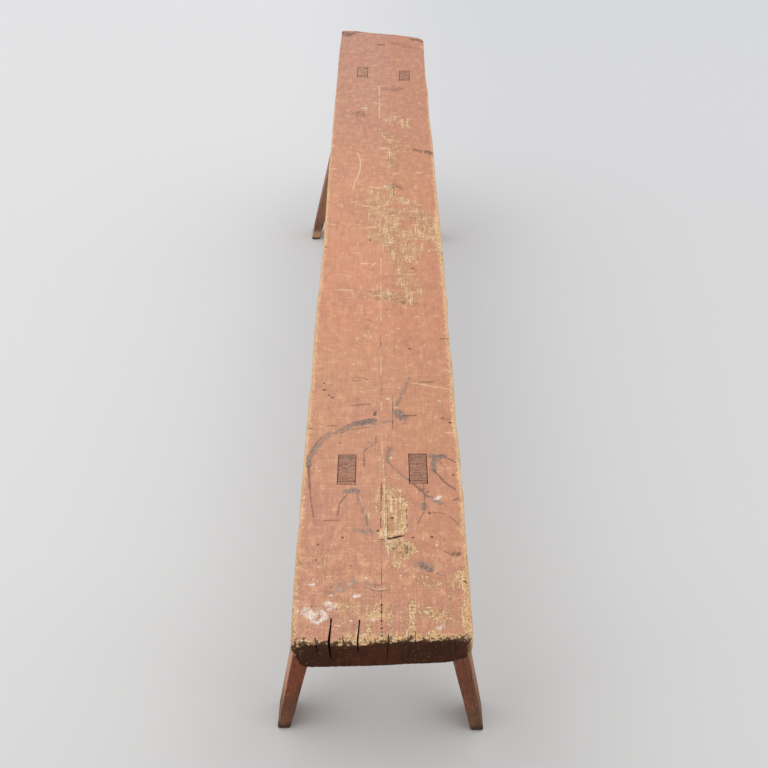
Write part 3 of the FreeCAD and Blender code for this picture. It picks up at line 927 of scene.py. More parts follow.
    def patterns(self, tree: Tree) -> Sockets:
        """Makes the patterns that the coat, the wood and the marks' edges share.

        Args:
            tree: The material's node tree.

        Returns:
            A number from 0 to 1 for each pattern, by name, and the place along the bench.
        """
        place = add_node(tree, "TexCoord", out="Object")
        made = {"place": place}
        add_patterns(tree, place, dict(self.sizes), made)
        made["along"] = add_node(tree, "SeparateXYZ", {0: place}, out="Y")
        across = made["along"].node.outputs["X"]
        start, end = self.darker
        made["right"] = add_node(tree, "MapRange", {0: across, 1: start, 2: end}, **SMOOTH)
        start, end = self.speckled
        fade = {0: made["along"], 1: start, 2: end, 4: self.clear}
        made["away"] = add_node(tree, "MapRange", fade, **SMOOTH)
        for pattern, first, second, how in (
            ("strokes", "net_along", "net_across", "MAXIMUM"),
            ("flakes", "strokes", "flake", "MAXIMUM"),
            ("mottle", "fleck", "ragged", "MINIMUM"),
            ("near_fleck", "fleck", "away", "SUBTRACT"),
            ("near_pit", "pit", "away", "SUBTRACT"),
            ("near_patch", "patch", "away", "SUBTRACT"),
        ):
            made[pattern] = add_node(tree, "Math", {0: made[first], 1: made[second]}, operation=how)
        about = add_node(tree, "Math", {0: made["patch"], 1: 0.5}, operation="SUBTRACT")
        pulled = {0: about, 1: self.patch_pull, 2: made["flakes"]}
        made["net"] = add_node(tree, "Math", pulled, operation="MULTIPLY_ADD")
        return made

    def masks(self, tree: Tree, patterns: Sockets) -> Sockets:
        """Reads the plank's attributes and gives each mark its ragged edge.

        Args:
            tree: The material's node tree.
            patterns: The material's patterns, by name.

        Returns:
            How much of each mark shows, from 0 to 1, by name.
        """
        step = ragged_step_group()
        thin_kinds = [kind.value for kind in (*LineKind, *DotKind)]
        masks = {}
        for mark, (pattern, ragged, low, high) in self.edges:
            if mark in thin_kinds:
                side = add_node(tree, "Attribute", out="Vector", attribute_name=f"{mark}_away")
                away = add_node(tree, "VectorMath", {0: side}, out="Value", operation="LENGTH")
                width = add_node(tree, "Attribute", out="Fac", attribute_name=f"{mark}_width")
                field = add_node(tree, "Math", {0: width, 1: away}, operation="SUBTRACT")
            else:
                name = "bare" if mark == "thin" else mark
                field = add_node(tree, "Attribute", out="Fac", attribute_name=name)
            given = dict(zip(STEP_INPUTS, (field, patterns[pattern], ragged, low, high)))
            masks[mark] = add_node(tree, "Group", given, node_tree=step)
        return masks

    def build(self, name: str) -> Material:
        """Makes the material.

        Args:
            name: The material's name.

        Returns:
            The material. Each mark covers those before it.
        """
        material, tree = new_material(name)
        patterns = self.patterns(tree)
        masks = self.masks(tree, patterns)
        woods = {
            wood: add_layers(tree, base, patterns, layers)
            for wood, base, layers in (
                ("coat", tones_along(tree, patterns["along"], self.coat), self.coat_layers),
                ("bare", self.pine, self.pine_layers),
                ("rim", self.rim, self.rim_layers),
                ("under", self.old_bare, self.old_bare_layers),
                # End faces take the dark end grain with its painted shade.
                ("end_grain", self.end_grain_and_shade, self.end_grain_and_shade_layers),
                ("spill", self.spill, self.spill_layers),
            )
        }
        colour = woods["coat"]
        for mark, strength, layer in (
            ("thin", 0.4, self.thin),
            ("bare", 0.95, woods["bare"]),
            ("rim", 0.95, woods["rim"]),
            ("spill", 0.85, woods["spill"]),
            ("soot", 0.8, self.soot),
            ("stain", 0.7, self.stain),
            ("chalk", 0.88, self.chalk),
            ("under", 1.0, woods["under"]),
            ("end_grain", 1.0, woods["end_grain"]),
            ("crumbs", 0.9, self.crumbs),
            ("scratch", 0.8, self.scratch),
            ("chip", 0.8, self.chip),
            ("dent", 0.8, self.crack),
            ("crack", 0.9, self.crack),
        ):
            factor = add_node(tree, "Math", {0: masks[mark], 1: strength}, operation="MULTIPLY")
            colour = add_node(tree, "Mix", {0: factor, 6: colour, 7: layer}, **BLEND)
        colour = uneven_tone(tree, colour, patterns, dict(self.tones))
        height = patterns["fibre"]
        for mark, lift in (("bare", -0.6), ("crack", -3.0), ("dent", -2.0), ("chip", -0.5)):
            height = add_node(tree, "Math", {0: masks[mark], 1: lift, 2: height}, operation="MULTIPLY_ADD")
        add_surface(tree, colour, 0.82, relief=(height, 0.6, 0.3 * MM))
        return material


@dataclass(frozen=True)
class LegPaint:
    """The same red earth paint on the legs, less sun-bleached, dirty and rubbed through at the edges.

    The eye sees a dull brick red, streaked along the leg, with bare brown wood at the edges and
    the foot, and darker close to the floor. Its outer faces are drawn lighter: a painted
    highlight where the side light falls. The far left foot's pale band is bare wood with a
    painted highlight. The fibres are drawn coarser than real ones.

    Attributes:
        pine: The clean wood where a foot has lost both its paint and its dirt, drawn pale as a
            painted highlight on the far left foot.
        lit_pine_share: How much of that pale wood shows there.
        bleached_and_lit_patches: How much the blotches steer where the lighter paint shows,
        which is bleached all over on some legs and a painted highlight on the outer faces.
        sizes: The patterns' lump sizes and detail, as add_patterns takes them.
        edges: For each mark, what makes its edge ragged, as in WornPaint.
        tones: How much each pattern changes the finished colour's value.
    """

    coat: str = "#7e4b38"
    layers: tuple[Layer, ...] = (
        Layer("streak", 0.44, 0.60, 0.8, "#663523"),
        Layer("blotch", 0.46, 0.60, 0.7, "#935038"),
        Layer("patch", 0.50, 0.64, 0.7, "#7c5744"),
        Layer("fleck", 0.58, 0.70, 0.6, "#b08a6c"),
        Layer("pit", 0.56, 0.68, 0.8, "#43251a"),
    )
    bare: str = "#936b52"
    bare_layers: tuple[Layer, ...] = (
        Layer("streak", 0.42, 0.60, 0.8, "#6c4a38"),
        Layer("fleck", 0.56, 0.68, 0.5, "#b8937a"),
        Layer("pit", 0.56, 0.68, 0.7, "#45291c"),
    )
    # Pale wood for a bare foot; on the far left foot it is also a painted highlight.
    pine: str = "#dcb184"
    lit_pine_share: float = 0.7
    # The lighter paint: bleached all over on some legs, and a painted highlight on the outer faces.
    faded: str = "#cc9a7e"
    # The colour of the dirt further up the leg and of the darkening close to the floor.
    dirt: str = "#4a3226"
    bleached_and_lit_patches: float = 1.2
    sizes: tuple[tuple[str, tuple], ...] = (
        ("fibre", (1.4, 1.4, 40, 3)), ("streak", (4, 4, 60, 3)), ("blotch", (25, 25, 60, 3)),
        ("patch", (9, 9, 18, 3)), ("fleck", (2.4, 2.4, 5, 3)), ("pit", (1.8, 1.8, 4, 3)),
    )
    edges: Edges = (
        ("bare", ("streak", 1.6, 0.4, 0.65)), ("dirt", ("patch", 1.2, 0.2, 1.0)),
    )
    tones: tuple[tuple[str, float], ...] = (("fibre", 0.7), ("patch", 0.4))

    def build(self, name: str) -> Material:
        """Makes the material.

        Args:
            name: The material's name.

        Returns:
            The material, which reads each vertex's place along the leg's own grain.
        """
        material, tree = new_material(name)
        step = ragged_step_group()
        place = add_node(tree, "Attribute", out="Vector", attribute_name="leg_place")
        fields = {
            field: add_node(tree, "Attribute", out="Fac", attribute_name=field)
            for field in ("bare", "dirt", "faded", "pale")
        }
        patterns = {}
        add_patterns(tree, place, dict(self.sizes), patterns)
        colour = add_layers(tree, self.coat, patterns, self.layers)
        wood = add_layers(tree, self.bare, patterns, self.bare_layers)
        pale = add_node(tree, "Math", {0: fields["pale"], 1: self.lit_pine_share}, operation="MULTIPLY")
        wood = add_node(tree, "Mix", {0: pale, 6: wood, 7: self.pine}, **BLEND)
        masks = {}
        for mark, (pattern, ragged, low, high) in self.edges:
            given = dict(zip(STEP_INPUTS, (fields[mark], patterns[pattern], ragged, low, high)))
            masks[mark] = add_node(tree, "Group", given, node_tree=step)
        # Lighter paint on the outer faces is a painted highlight of the side light; the all-over bleaching
        # is the paint's own.
        outer = fields["faded"]
        pulled = {0: patterns["blotch"], 1: self.bleached_and_lit_patches, 2: -self.bleached_and_lit_patches / 2}
        fade = add_node(tree, "Math", pulled, operation="MULTIPLY_ADD")
        fade = add_node(tree, "Math", {0: fade, 1: outer}, operation="ADD")
        fade = add_node(tree, "Math", {0: fade, 1: outer}, operation="MULTIPLY", use_clamp=True)
        for amount, layer in ((fade, self.faded), (masks["bare"], wood), (masks["dirt"], self.dirt)):
            colour = add_node(tree, "Mix", {0: amount, 6: colour, 7: layer}, **BLEND)
        colour = uneven_tone(tree, colour, patterns, dict(self.tones))
        add_surface(tree, colour, 0.8, relief=(patterns["fibre"], 0.6, 0.4 * MM))
        return material


@dataclass(frozen=True)
class EndGrain:
    """The cut ends of the tenons and wedges, flush with the seat and painted with it.

    The eye sees the coat, darkened by dirt, with slanting growth lines and pores.

    Attributes:
        coat: The coat's colour.
        slant: How far the growth lines turn from the X axis, in degrees.
        growth: How long and how wide the growth lines' streaks are, in millimetres.
    """

    coat: str = "#bf8b6f"
    slant: float = 35.0
    growth: Pair = (9, 1.6)
    layers: tuple[Layer, ...] = (
        Layer("growth", 0.48, 0.60, 0.9, "#80513f"),
        Layer("patch", 0.48, 0.62, 0.6, "#a07a66"),
        Layer("pore", 0.54, 0.66, 0.8, "#6b4839"),
        Layer("speck", 0.56, 0.68, 0.75, "#ddb48e"),
    )

    def build(self, name: str) -> Material:
        """Makes the material.

        Args:
            name: The material's name.

        Returns:
            The material.
        """
        material, tree = new_material(name)
        place = add_node(tree, "TexCoord", out="Object")
        scale = (*(1 / (size * MM) for size in self.growth), 1)
        turn = (0, 0, math.radians(self.slant))
        turned = add_node(tree, "Mapping", {"Vector": place, "Rotation": turn, "Scale": scale})
        patterns = {"growth": add_node(tree, "TexNoise", {"Vector": turned, "Scale": 1.0, "Detail": 2.0})}
        for pattern, size in {"pore": 1.8, "patch": 14, "speck": 2.6}.items():
            spotty = {"Vector": place, "Scale": 1 / (size * MM), "Detail": 3.0}
            patterns[pattern] = add_node(tree, "TexNoise", spotty)
        colour = add_layers(tree, self.coat, patterns, self.layers)
        add_surface(tree, colour, 0.82, relief=(patterns["pore"], 0.5, 0.3 * MM))
        return material


@dataclass(frozen=True)
class OldWood:
    """Bare old wood, darkened in a joint or a crack, where little light and no paint reaches.

    The eye sees dark brown with a faint grain along the bench.

    Attributes:
        colour: The wood's colour.
        deep: The colour of its darker fibres.
        lumps: How many of the grain's lumps fit in a metre along X, Y and Z.
    """

    colour: str = "#3a2419"
    deep: str = "#1c110b"
    lumps: Triple = (400, 30, 400)

    def build(self, name: str) -> Material:
        """Makes the material.

        Args:
            name: The material's name.

        Returns:
            The material.
        """
        material, tree = new_material(name)
        place = add_node(tree, "TexCoord", out="Object")
        scaled = add_node(tree, "Mapping", {"Vector": place, "Scale": self.lumps})
        grain = add_node(tree, "TexNoise", {"Vector": scaled, "Scale": 1.0, "Detail": 3.0})
        colour = add_node(tree, "Mix", {0: grain, 6: self.deep, 7: self.colour}, **BLEND)
        add_surface(tree, colour, 0.85, shine=0.2)
        return material


# Half of the width that a vertex keeps, in millimetres, where no thin line is near it.
NO_LINE = -10.0


@dataclass
class SeatPlank:
    """The seat: one sawn plank, bowed, waney below, worn above, mortised and split.

    The edges are (along, across) and the ends (across, along), in millimetres.

    Attributes:
        left_edge: The left edge seen from above.
        right_edge: The right edge seen from above.
        near_end: The near end seen from above.
        far_end: The far end seen from above.
        left_wane: How far the left side falls in at depths below the top, in millimetres.
        right_wane: The same for the right side.
        left_rub: How wide the left edge is rubbed bare at places along it, in millimetres.
        right_rub: The same for the right edge.
        near_rub: The same for the near end, at places across it.
        arris: Worn round of the edges about the top.
        sole: Worn round of the ends' lower edges.
        corners: Worn round of the corners, seen from above: near left, near right and far.
        corner_drop: How much more the arris is worn about the near corners.
        worn_sole: How much more the lower edge is worn about the near right corner.
        nicks: Where the near arris is chipped: the photograph's pixel, and the chip's half width
            and depth in millimetres.
        far_rub: How wide the far end is rubbed bare, in millimetres.
        rub_fade: Where a rubbed edge starts and stops fading, as shares of its width.
        side_fall: What a millimetre down the sides counts for, against one inwards.
        end_fall: The same for the near end.
        tenon_gap: How much wider than the solid's the mortises are, so that the gap shows.
        rounds: How often the worn shape is drawn closer to.
        columns: Faces across the top.
        rows: Faces along the top.
        near_rows: How much closer the rows stand at the near end than on average.
        end_rows: How much closer they stand at both ends than in the middle.
        edge_columns: How much closer the columns stand at the edges than on average.
        drops: How far below the top the rings about the sides lie, in millimetres.
        lumps: How far the sawn faces stand in and out.
        crumbling: How far the rim and the near arris crumble, more than that.
        rim_band: How far in from the outline the rim reaches.
        end_band: How far the crumbled near arris reaches along the top.
        upper_band: How far it reaches down the end.
        waver: How far the wane stands in and out, by the distance from the side.
        wavy_from: How far below the top that starts, and where it's at its most.
        marked_depth: How far below the top marks reach, in millimetres.
        end_depth: How far from the near end its crumbs can reach, in millimetres.
        end_crumbs: How crumbly the near end is, by millimetres from its arris.
        corner_crumbs: Where it is more so, about the near corners.
        corner_more: How much stronger the crumbs are there, and how much wider they reach.
        right_less: How much weaker they are at the right.
        flaked_corner: How much of the near end's dark has flaked off at its left.
        end_grain_from: How squarely a face lies to the grain where its ends start to show,
            and where they show fully.
        bare_under: Between which depths below the top the paint ends, in millimetres.
        bare_wane: The same by how far the wane has fallen in.
        bare_end: The same as bare_under, for the near end.
        mark_room: Where a mark's soft edge ends, as a share of its reach.
        line_room: How far from a thin line the vertices know of it, in millimetres.
        line_gone: Between which distances from it the line stops showing.
    """

    left_edge: tuple[Place, ...] = (
        (-1193, -110), (-1116, -111.5), (-998, -112.4), (-950, -111.3), (-900, -112.5), (-629, -112.5),
        (-600, -111), (-537, -112), (-474, -112.8), (-336, -113), (-282, -111), (-224, -111),
        (-130, -110), (259, -112), (342, -111), (617, -111), (827, -110), (1037, -110), (1138, -108),
        (1193, -108),
    )
    right_edge: tuple[Place, ...] = (
        (-1193, 109.5), (-1029, 110.4), (-950, 110.7), (-900, 112.2), (-865, 110.5), (-810, 112),
        (-713, 110.1), (-620, 111.6), (-537, 112.4), (-492, 109.8), (-391, 111.6), (-336, 113),
        (-282, 112), (-183, 113), (-100, 112.5), (105, 111), (429, 111), (560, 108.5), (719, 110.3),
        (827, 107.6), (972, 108.4), (1104, 109.5),
    )
    near_end: tuple[Place, ...] = ((-110, -1193), (-65, -1192), (0, -1190), (23, -1188), (110, -1183))
    far_end: tuple[Place, ...] = (
        (-110, 1192), (-85, 1192.4), (-69, 1189), (-52, 1182), (-20, 1170), (-4, 1167.5), (12, 1161),
        (28, 1159), (60, 1147), (92, 1131.5), (110, 1113),
    )
    left_wane: tuple[Place, ...] = ((13, 0), (20, 3.5), (26, 6.5), (32, 8.5), (36, 11), (40, 20))
    right_wane: tuple[Place, ...] = ((23, 0), (28, 2), (32, 5), (36, 9), (40, 16))
    left_rub: tuple[Place, ...] = (
        (-1193, 7.5), (-1050, 5.5), (-700, 6), (-200, 5.5), (200, 4.5), (600, 3), (900, 1.5), (1193, 1),
    )
    right_rub: tuple[Place, ...] = (
        (-1193, 12), (-1130, 9), (-1000, 5.5), (-700, 6), (-400, 6), (-330, 7), (-100, 9), (0, 9),
        (60, 6), (500, 4.5), (750, 3), (900, 1.5), (1113, 1.5),
    )
    near_rub: tuple[Place, ...] = (
        (-110, 12), (-75, 6), (-50, 8), (-40, 19), (-10, 13), (10, 22), (25, 12), (36, 17), (48, 8),
        (60, 13), (85, 8), (110, 16),
    )
    arris: float = 4.5 * MM
    sole: float = 3 * MM
    corners: Triple = (8 * MM, 12 * MM, 8 * MM)
    corner_drop: Fade = Fade(11 * MM, 3 * MM, 22 * MM)
    worn_sole: Fade = Fade(12 * MM, 4 * MM, 34 * MM)
    nicks: tuple[tuple[Place, float, float], ...] = (
        ((350, 642), 34, 8), ((389, 638.5), 6, 4), ((409.5, 638), 4, 3), ((345, 641), 4, 2.5),
        ((372, 640), 5, 1.5), ((430, 638), 5, 1.5), ((316, 641), 5, 2), ((465, 635), 4, 3),
        ((468.5, 629), 4, 3),
    )
    far_rub: float = 1.5
    rub_fade: Pair = (0.2, 1.5)
    side_fall: float = 0.7
    end_fall: float = 0.25
    tenon_gap: float = 1.1 * MM
    rounds: int = 4
    columns: int = 110
    rows: int = 624
    near_rows: float = 0.41
    end_rows: float = 0.15
    edge_columns: float = 0.35
    drops: tuple[float, ...] = (
        1, 2.2, 3.6, 5.5, 8, 11, 14, 17, 20, 23, 26, 29, 32, 34, 36, 38, 39.2, 40,
    )
    lumps: float = 0.15 * MM
    crumbling: Pair = (0.5 * MM, 1.6 * MM)
    rim_band: Fade = Fade(1.0, 1 * MM, 7 * MM)
    end_band: Fade = Fade(1.0, 2 * MM, 12 * MM)
    upper_band: Fade = Fade(1.0, 4 * MM, 9 * MM)
    waver: Fade = Fade(5 * MM, 20 * MM, 40 * MM)
    wavy_from: Pair = (11 * MM, 30 * MM)
    marked_depth: float = 9
    end_depth: float = 24
    end_crumbs: Fade = Fade(0.9, 2, 12)
    corner_crumbs: Fade = Fade(1.0, 6, 20)
    corner_more: Pair = (0.14, 9)
    right_less: float = 0.12
    flaked_corner: Fade = Fade(0.14, 5, 24)
    end_grain_from: Pair = (0.78, 0.98)
    bare_under: Pair = (36, 40)
    bare_wane: Pair = (0.5, 5)
    bare_end: Pair = (4, 8)
    mark_room: float = 1.5
    line_room: float = 16
    line_gone: Pair = (5, 12)

    def __post_init__(self) -> None:
        """Reads the plank's place from the frame."""
        low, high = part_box("seat_plank")
        self.top = high.z
        self.underside = low.z
        self.centre = (low.x + high.x) / 2
        self.length = high.y - low.y
        self.width = high.x - low.x

    def on_seat(self, pixel: Place) -> Place:
        """Where on the seat a pixel of the photograph shows, across and along in millimetres."""
        place = VIEW.at_height(pixel, self.top)
        return (place.x - self.centre) / MM, place.y / MM

    def seat_places(self, points: np.ndarray) -> np.ndarray:
        """Where points lie on the seat, across and along in millimetres."""
        return np.stack([points[:, 0] - self.centre, points[:, 1]], axis=1) / MM

    def outline(self, points: np.ndarray) -> tuple[np.ndarray, np.ndarray, np.ndarray, np.ndarray]:
        """How deep points lie inside the seen-from-above outline, from each of its four sides.

        Args:
            points: The points, one to a row.

        Returns:
            The depths from the left and right edges and from the near and far ends.
        """
        across = points[:, 0] - self.centre
        along = points[:, 1]
        left = across - follow(self.left_edge, along / MM) * MM
        right = follow(self.right_edge, along / MM) * MM - across
        near = along - follow(self.near_end, across / MM) * MM
        far = follow(self.far_end, across / MM) * MM - along
        return left, right, near, far

    def saw_board(self) -> Piece:
        """Saws the board: a grid for its top, drawn to its outline and then down."""
        middle = (self.centre, 0, self.top)
        faces = {"x_subdivisions": self.columns, "y_subdivisions": self.rows}
        grid = bpy.ops.mesh.primitive_grid_add
        board = start_piece(grid, "seat_plank_worn", size=1, location=middle, **faces)
        bpy.ops.object.mode_set(mode="EDIT")
        bpy.ops.transform.resize(value=(self.width, self.length, 1), center_override=middle)
        bpy.ops.object.mode_set(mode="OBJECT")
        settle(board)
        self.draw_outline(board)
        bpy.ops.object.mode_set(mode="EDIT")
        bpy.ops.mesh.select_all(action="SELECT")
        bpy.ops.mesh.region_to_loop()
        bpy.ops.mesh.select_mode(type="EDGE")
        depth, width, shift = 0.0, 1.0, 0.0
        for drop in self.drops:
            left, right = (follow(wane, drop) * MM for wane in (self.left_wane, self.right_wane))
            new_width = 1 - (left + right) / self.width
            new_shift = (left - right) / 2
            bpy.ops.mesh.extrude_region_move(
                TRANSFORM_OT_translate={"value": (new_shift - shift, 0, depth - drop * MM)}
            )
            bpy.ops.transform.resize(
                value=(new_width / width, 1, 1), center_override=(self.centre + new_shift, 0, self.top)
            )
            depth, width, shift = drop * MM, new_width, new_shift
        bpy.ops.mesh.edge_face_add()
        bpy.ops.mesh.select_all(action="SELECT")
        bpy.ops.mesh.normals_make_consistent(inside=False)
        bpy.ops.object.mode_set(mode="OBJECT")
        return board

    def draw_outline(self, board: Piece) -> None:
        """Draws the grid out to the sawn outline, with its rows and columns closer at the edges."""
        points = mesh_points(board)
        across = (points[:, 0] - self.centre) / (self.width / 2)
        across = across + self.edge_columns * np.sin(math.pi * across) / math.pi
        share = points[:, 1] / self.length + 0.5
        share = (1 - self.near_rows) * share + self.near_rows * share**2
        share = share - self.end_rows / math.tau * np.sin(math.tau * share)
        place = across * self.width / 2 / MM
        near = follow(self.near_end, place)
        along = near + (follow(self.far_end, place) - near) * share
        left = follow(self.left_edge, along)
        right = follow(self.right_edge, along)
        points[:, 0] = self.centre + (left + (right - left) * (across + 1) / 2) * MM
        points[:, 1] = along * MM
        move_points(board, points)

    def wear(self, board: Piece) -> None:
        """Wears the edges and corners round, chips the near arris and makes the wane uneven."""
        points = mesh_points(board)
        left, right, near, far = self.outline(points)
        sides = np.minimum(left, right)
        rounding = self.rounding(points)
        for _ in range(self.rounds):
            points = points - self.proud(points, rounding)[:, None] * self.slope(points, rounding)
        low = ramp(self.top - points[:, 2], *self.wavy_from)
        inward = np.where(points[:, 0] < self.centre, 1, -1)
        uneven = noise_at(points, (60 * MM, 130 * MM, 90 * MM), 8.4)
        points[:, 0] += self.waver.at(sides) * uneven * low * inward
        lumps = noise_at(points, (30 * MM, 55 * MM, 30 * MM), 6.2)
        crumbs = noise_at(points, (4 * MM, 6 * MM, 4 * MM), 9.5)
        rim = self.rim_band.at(np.minimum(sides, np.minimum(near, far)))
        broken = rim * self.end_band.at(near) * self.upper_band.at(self.top - points[:, 2])
        at_rim, at_end = self.crumbling
        amount = self.lumps * lumps + (at_rim * rim + at_end * broken) * crumbs
        move_points(board, points)
        move_points(board, points + amount[:, None] * mesh_normals(board))

    def rounding(self, points: np.ndarray) -> np.ndarray:
        """The worn arris's round at each point: uneven, larger at the near corners, nicked."""
        left, right, near, _ = self.outline(points)
        rounding = self.arris * (
            1
            + 0.3 * noise_at(points, (25 * MM, 60 * MM, 1), 3.1)
            + 0.3 * noise_at(points, (6 * MM, 12 * MM, 1), 5.7)
        )
        corner = np.hypot(np.minimum(left, right), near)
        rounding += self.corner_drop.at(corner)
        for pixel, reach, depth in self.nicks:
            away, _ = path_distance(self.seat_places(points), [self.on_seat(pixel)])
            rounding += Fade(depth * MM, reach * 0.4, reach).at(away)
        return rounding

    def margins(self, points: np.ndarray) -> tuple[np.ndarray, np.ndarray, np.ndarray, np.ndarray]:
        """How far points lie inside the outline, and the worn corner that they are nearest to.

        Args:
            points: The points, one to a row.

        Returns:
            The depths from the nearer side and the nearer end, the nearest corner's round, and
            the distance from the near right corner.
        """
        left, right, near, far = self.outline(points)
        near_left, near_right, beyond = self.corners
        corner = np.where(near < far, np.where(left < right, near_left, near_right), beyond)
        return np.minimum(left, right), np.minimum(near, far), corner, np.hypot(right, near)

    def end_facing(self, points: np.ndarray) -> np.ndarray:
        """How squarely the worn surface at each point faces along the bench, from 0 to 1."""
        side, end, corner, _ = self.margins(points)
        up = np.clip(1 - (self.top - points[:, 2]) / self.rounding(points), 0, 1)
        out = np.clip(1 - side / corner, 0, 1)
        return np.sqrt((1 - up**2) * (1 - out**2)) * (end < 4 * MM)

    def proud(self, points: np.ndarray, rounding: np.ndarray) -> np.ndarray:
        """How far points stand out of the worn shape, given the arris's round at each."""
        side, end, corner, near_right = self.margins(points)
        turned = corner - np.hypot(corner - side, corner - end)
        plan = np.where((side < corner) & (end < corner), turned, np.minimum(side, end))
        above = self.top - points[:, 2]
        below = points[:, 2] - self.underside
        depth = rounding - np.hypot(np.maximum(rounding - plan, 0), np.maximum(rounding - above, 0))
        sole = self.sole + self.worn_sole.at(near_right)
        lower = sole - np.hypot(np.maximum(sole - plan, 0), np.maximum(sole - below, 0))
        return np.maximum(-np.minimum(depth, lower), 0)

    def slope(self, points: np.ndarray, rounding: np.ndarray) -> np.ndarray:
        """The direction in which points stand out most of the worn shape."""
        step = 0.01 * MM
        grown = []
        for axis in range(3):
            shift = np.zeros(3)
            shift[axis] = step
            ahead, behind = (self.proud(points + way * shift, rounding) for way in (1, -1))
            grown.append(ahead - behind)
        slope = np.stack(grown, axis=1)
        return slope / np.maximum(np.linalg.norm(slope, axis=1, keepdims=True), 1e-12)

    def mortise_cutter(self, leg: str) -> Piece:
        """A solid that cuts one leg's mortise, wider than the CAD one by a gap that shows."""
        low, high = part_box(f"{leg}_end_wedge")
        other_low, other_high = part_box(f"{leg}_inner_wedge")
        tenon = mesh_points(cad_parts[f"{leg}_leg"])
        tenon = tenon[tenon[:, 2] > high.z - 0.1 * MM]
        gap = self.tenon_gap
        left, right = tenon[:, 0].min() - gap, tenon[:, 0].max() + gap
        near = min(low.y, other_low.y) - gap
        far = max(high.y, other_high.y) + gap
        deep = self.top - self.underside + 5 * MM
        corners = (left, near, self.top - deep), (right, far, self.top + deep)
        piece = block(f"{leg}_mortise", *corners)
        lean = Leg(leg).slope() * deep
        flare = (far - near) - (tenon[:, 1].max() - tenon[:, 1].min()) - 2 * gap
        bpy.ops.object.mode_set(mode="EDIT")
        for way in (-1, 1):
            select_where(piece, "FACE", lambda place, normal: normal.z * way > 0.9)
            long = 1 + way * flare * deep / (self.top - self.underside) / (far - near)
            middle = ((left + right) / 2, (near + far) / 2, self.top)
            bpy.ops.transform.resize(value=(1, long, 1), center_override=middle)
            bpy.ops.transform.translate(value=(way * lean, 0, 0))
        bpy.ops.object.mode_set(mode="OBJECT")
        return piece

    def split_cutter(self, split: Split) -> Piece:
        """A wedge of air that cuts a drying split, from its tip to the end face and down it."""
        tip = VIEW.at_height(split.tip, self.top)
        mouth = VIEW.at_height(split.mouth, self.top)
        half = split.width * MM / 2
        over = 8 * MM
        low = (mouth.x - half, mouth.y - over, self.top - split.drop * MM)
        high = (mouth.x + half, tip.y, self.top + over)
        piece = block("split", low, high)
        bpy.ops.object.mode_set(mode="EDIT")
        select_where(piece, "FACE", lambda place, normal: normal.y > 0.9)
        middle = (mouth.x, tip.y, self.top)
        bpy.ops.transform.resize(value=(0.6, 1, 1), center_override=middle)
        bpy.ops.transform.translate(value=(tip.x - mouth.x, 0, 0))

        def lower(place: Vector, run: Vector) -> bool:
            """Whether an edge is one of the two that run across below the top."""
            return place.z < self.top and abs(run.x) > 0.9

        select_where(piece, "EDGE", lambda place, run: place.y > tip.y - 1e-6 and lower(place, run))
        bpy.ops.transform.translate(value=(0, 0, split.drop * MM - 2 * MM))
        select_where(piece, "EDGE", lambda place, run: place.y < mouth.y and lower(place, run))
        middle = (mouth.x, mouth.y, self.top)
        bpy.ops.transform.resize(value=(0.4, 1, 1), center_override=middle)
        bpy.ops.transform.translate(value=(split.lean * MM, 0, 0))
        bpy.ops.object.mode_set(mode="OBJECT")
        return piece

    def crack_cutters(self, line: Line) -> list[Piece]:
        """Wedges of air that cut a deep crack in the top, one for each of its runs."""
        cutters = []
        places = [VIEW.at_height(pixel, self.top) for pixel in line.places]
        half = line.width * MM * 0.8
        for start, end in zip(places[:-1], places[1:]):
            run = end - start
            low = (start.x - half, start.y, self.top - line.depth * MM)
            high = (start.x + half, start.y + run.length, self.top + 4 * MM)
            piece = block("crack", low, high)
            bpy.ops.object.mode_set(mode="EDIT")
            select_where(piece, "FACE", lambda place, normal: normal.z < -0.9)
            bpy.ops.transform.resize(value=(0.15, 0.9, 1), center_override=(start + end) / 2)
            bpy.ops.object.mode_set(mode="OBJECT")
            turn = Matrix.Rotation(math.atan2(-run.x, run.y), 4, "Z")
            piece.data.transform(Matrix.Translation(start) @ turn @ Matrix.Translation(-start))
            cutters.append(piece)
        return cutters

    def mark_fields(self, places: np.ndarray) -> dict[str, np.ndarray]:
        """How strongly each vertex is marked by what lies on the seat or has rubbed it.

        Args:
            places: The vertices' places on the seat, across and along in millimetres.

        Returns:
            Numbers or arrows for each vertex, by the names that the material reads.
        """
        values = {kind.value: np.zeros(len(places)) for kind in MarkKind}
        for mark in MARKS:
            path = [self.on_seat(pixel) for pixel in mark.places]
            close = near_path(places, path, self.mark_room * mark.reach)
            away, _ = path_distance(places[close], path)
            strength = mark.strength * np.clip(self.mark_room - away / mark.reach, 0, 1)
            field = values[mark.kind.value]
            field[close] = np.maximum(field[close], strength)
        drawn = [(line.kind.value, line.places, line.width) for line in LINES + DEEP_CRACKS]
        for kind, widths in DOTS.items():
            for width, dots in widths.items():
                drawn += [(kind.value, (pixel,), width) for pixel in dots]
        nearest = {}
        for name, pixels, width in drawn:
            if name not in nearest:
                nearest[name] = np.full(len(places), np.inf)
                values[f"{name}_away"] = np.zeros((len(places), 3))
                values[f"{name}_width"] = np.full(len(places), NO_LINE)
            path = [self.on_seat(pixel) for pixel in pixels]
            close = near_path(places, path, self.line_room)
            away, side = path_distance(places[close], path)
            closer = away < nearest[name][close]
            chosen = close[closer]
            away, side = away[closer], side[closer]
            nearest[name][chosen] = away
            arrow = np.zeros((len(chosen), 3))
            if len(path) == 1:
                arrow[:, :2] = places[chosen] - np.array(path[0])
            else:
                arrow[:, 0] = side
            past = 0 if len(path) == 1 else np.maximum(away - np.abs(side), 0)
            values[f"{name}_away"][chosen] = arrow
            ended = ramp(away, *self.line_gone)
            values[f"{name}_width"][chosen] = width - past + 2 * NO_LINE * ended
        return values

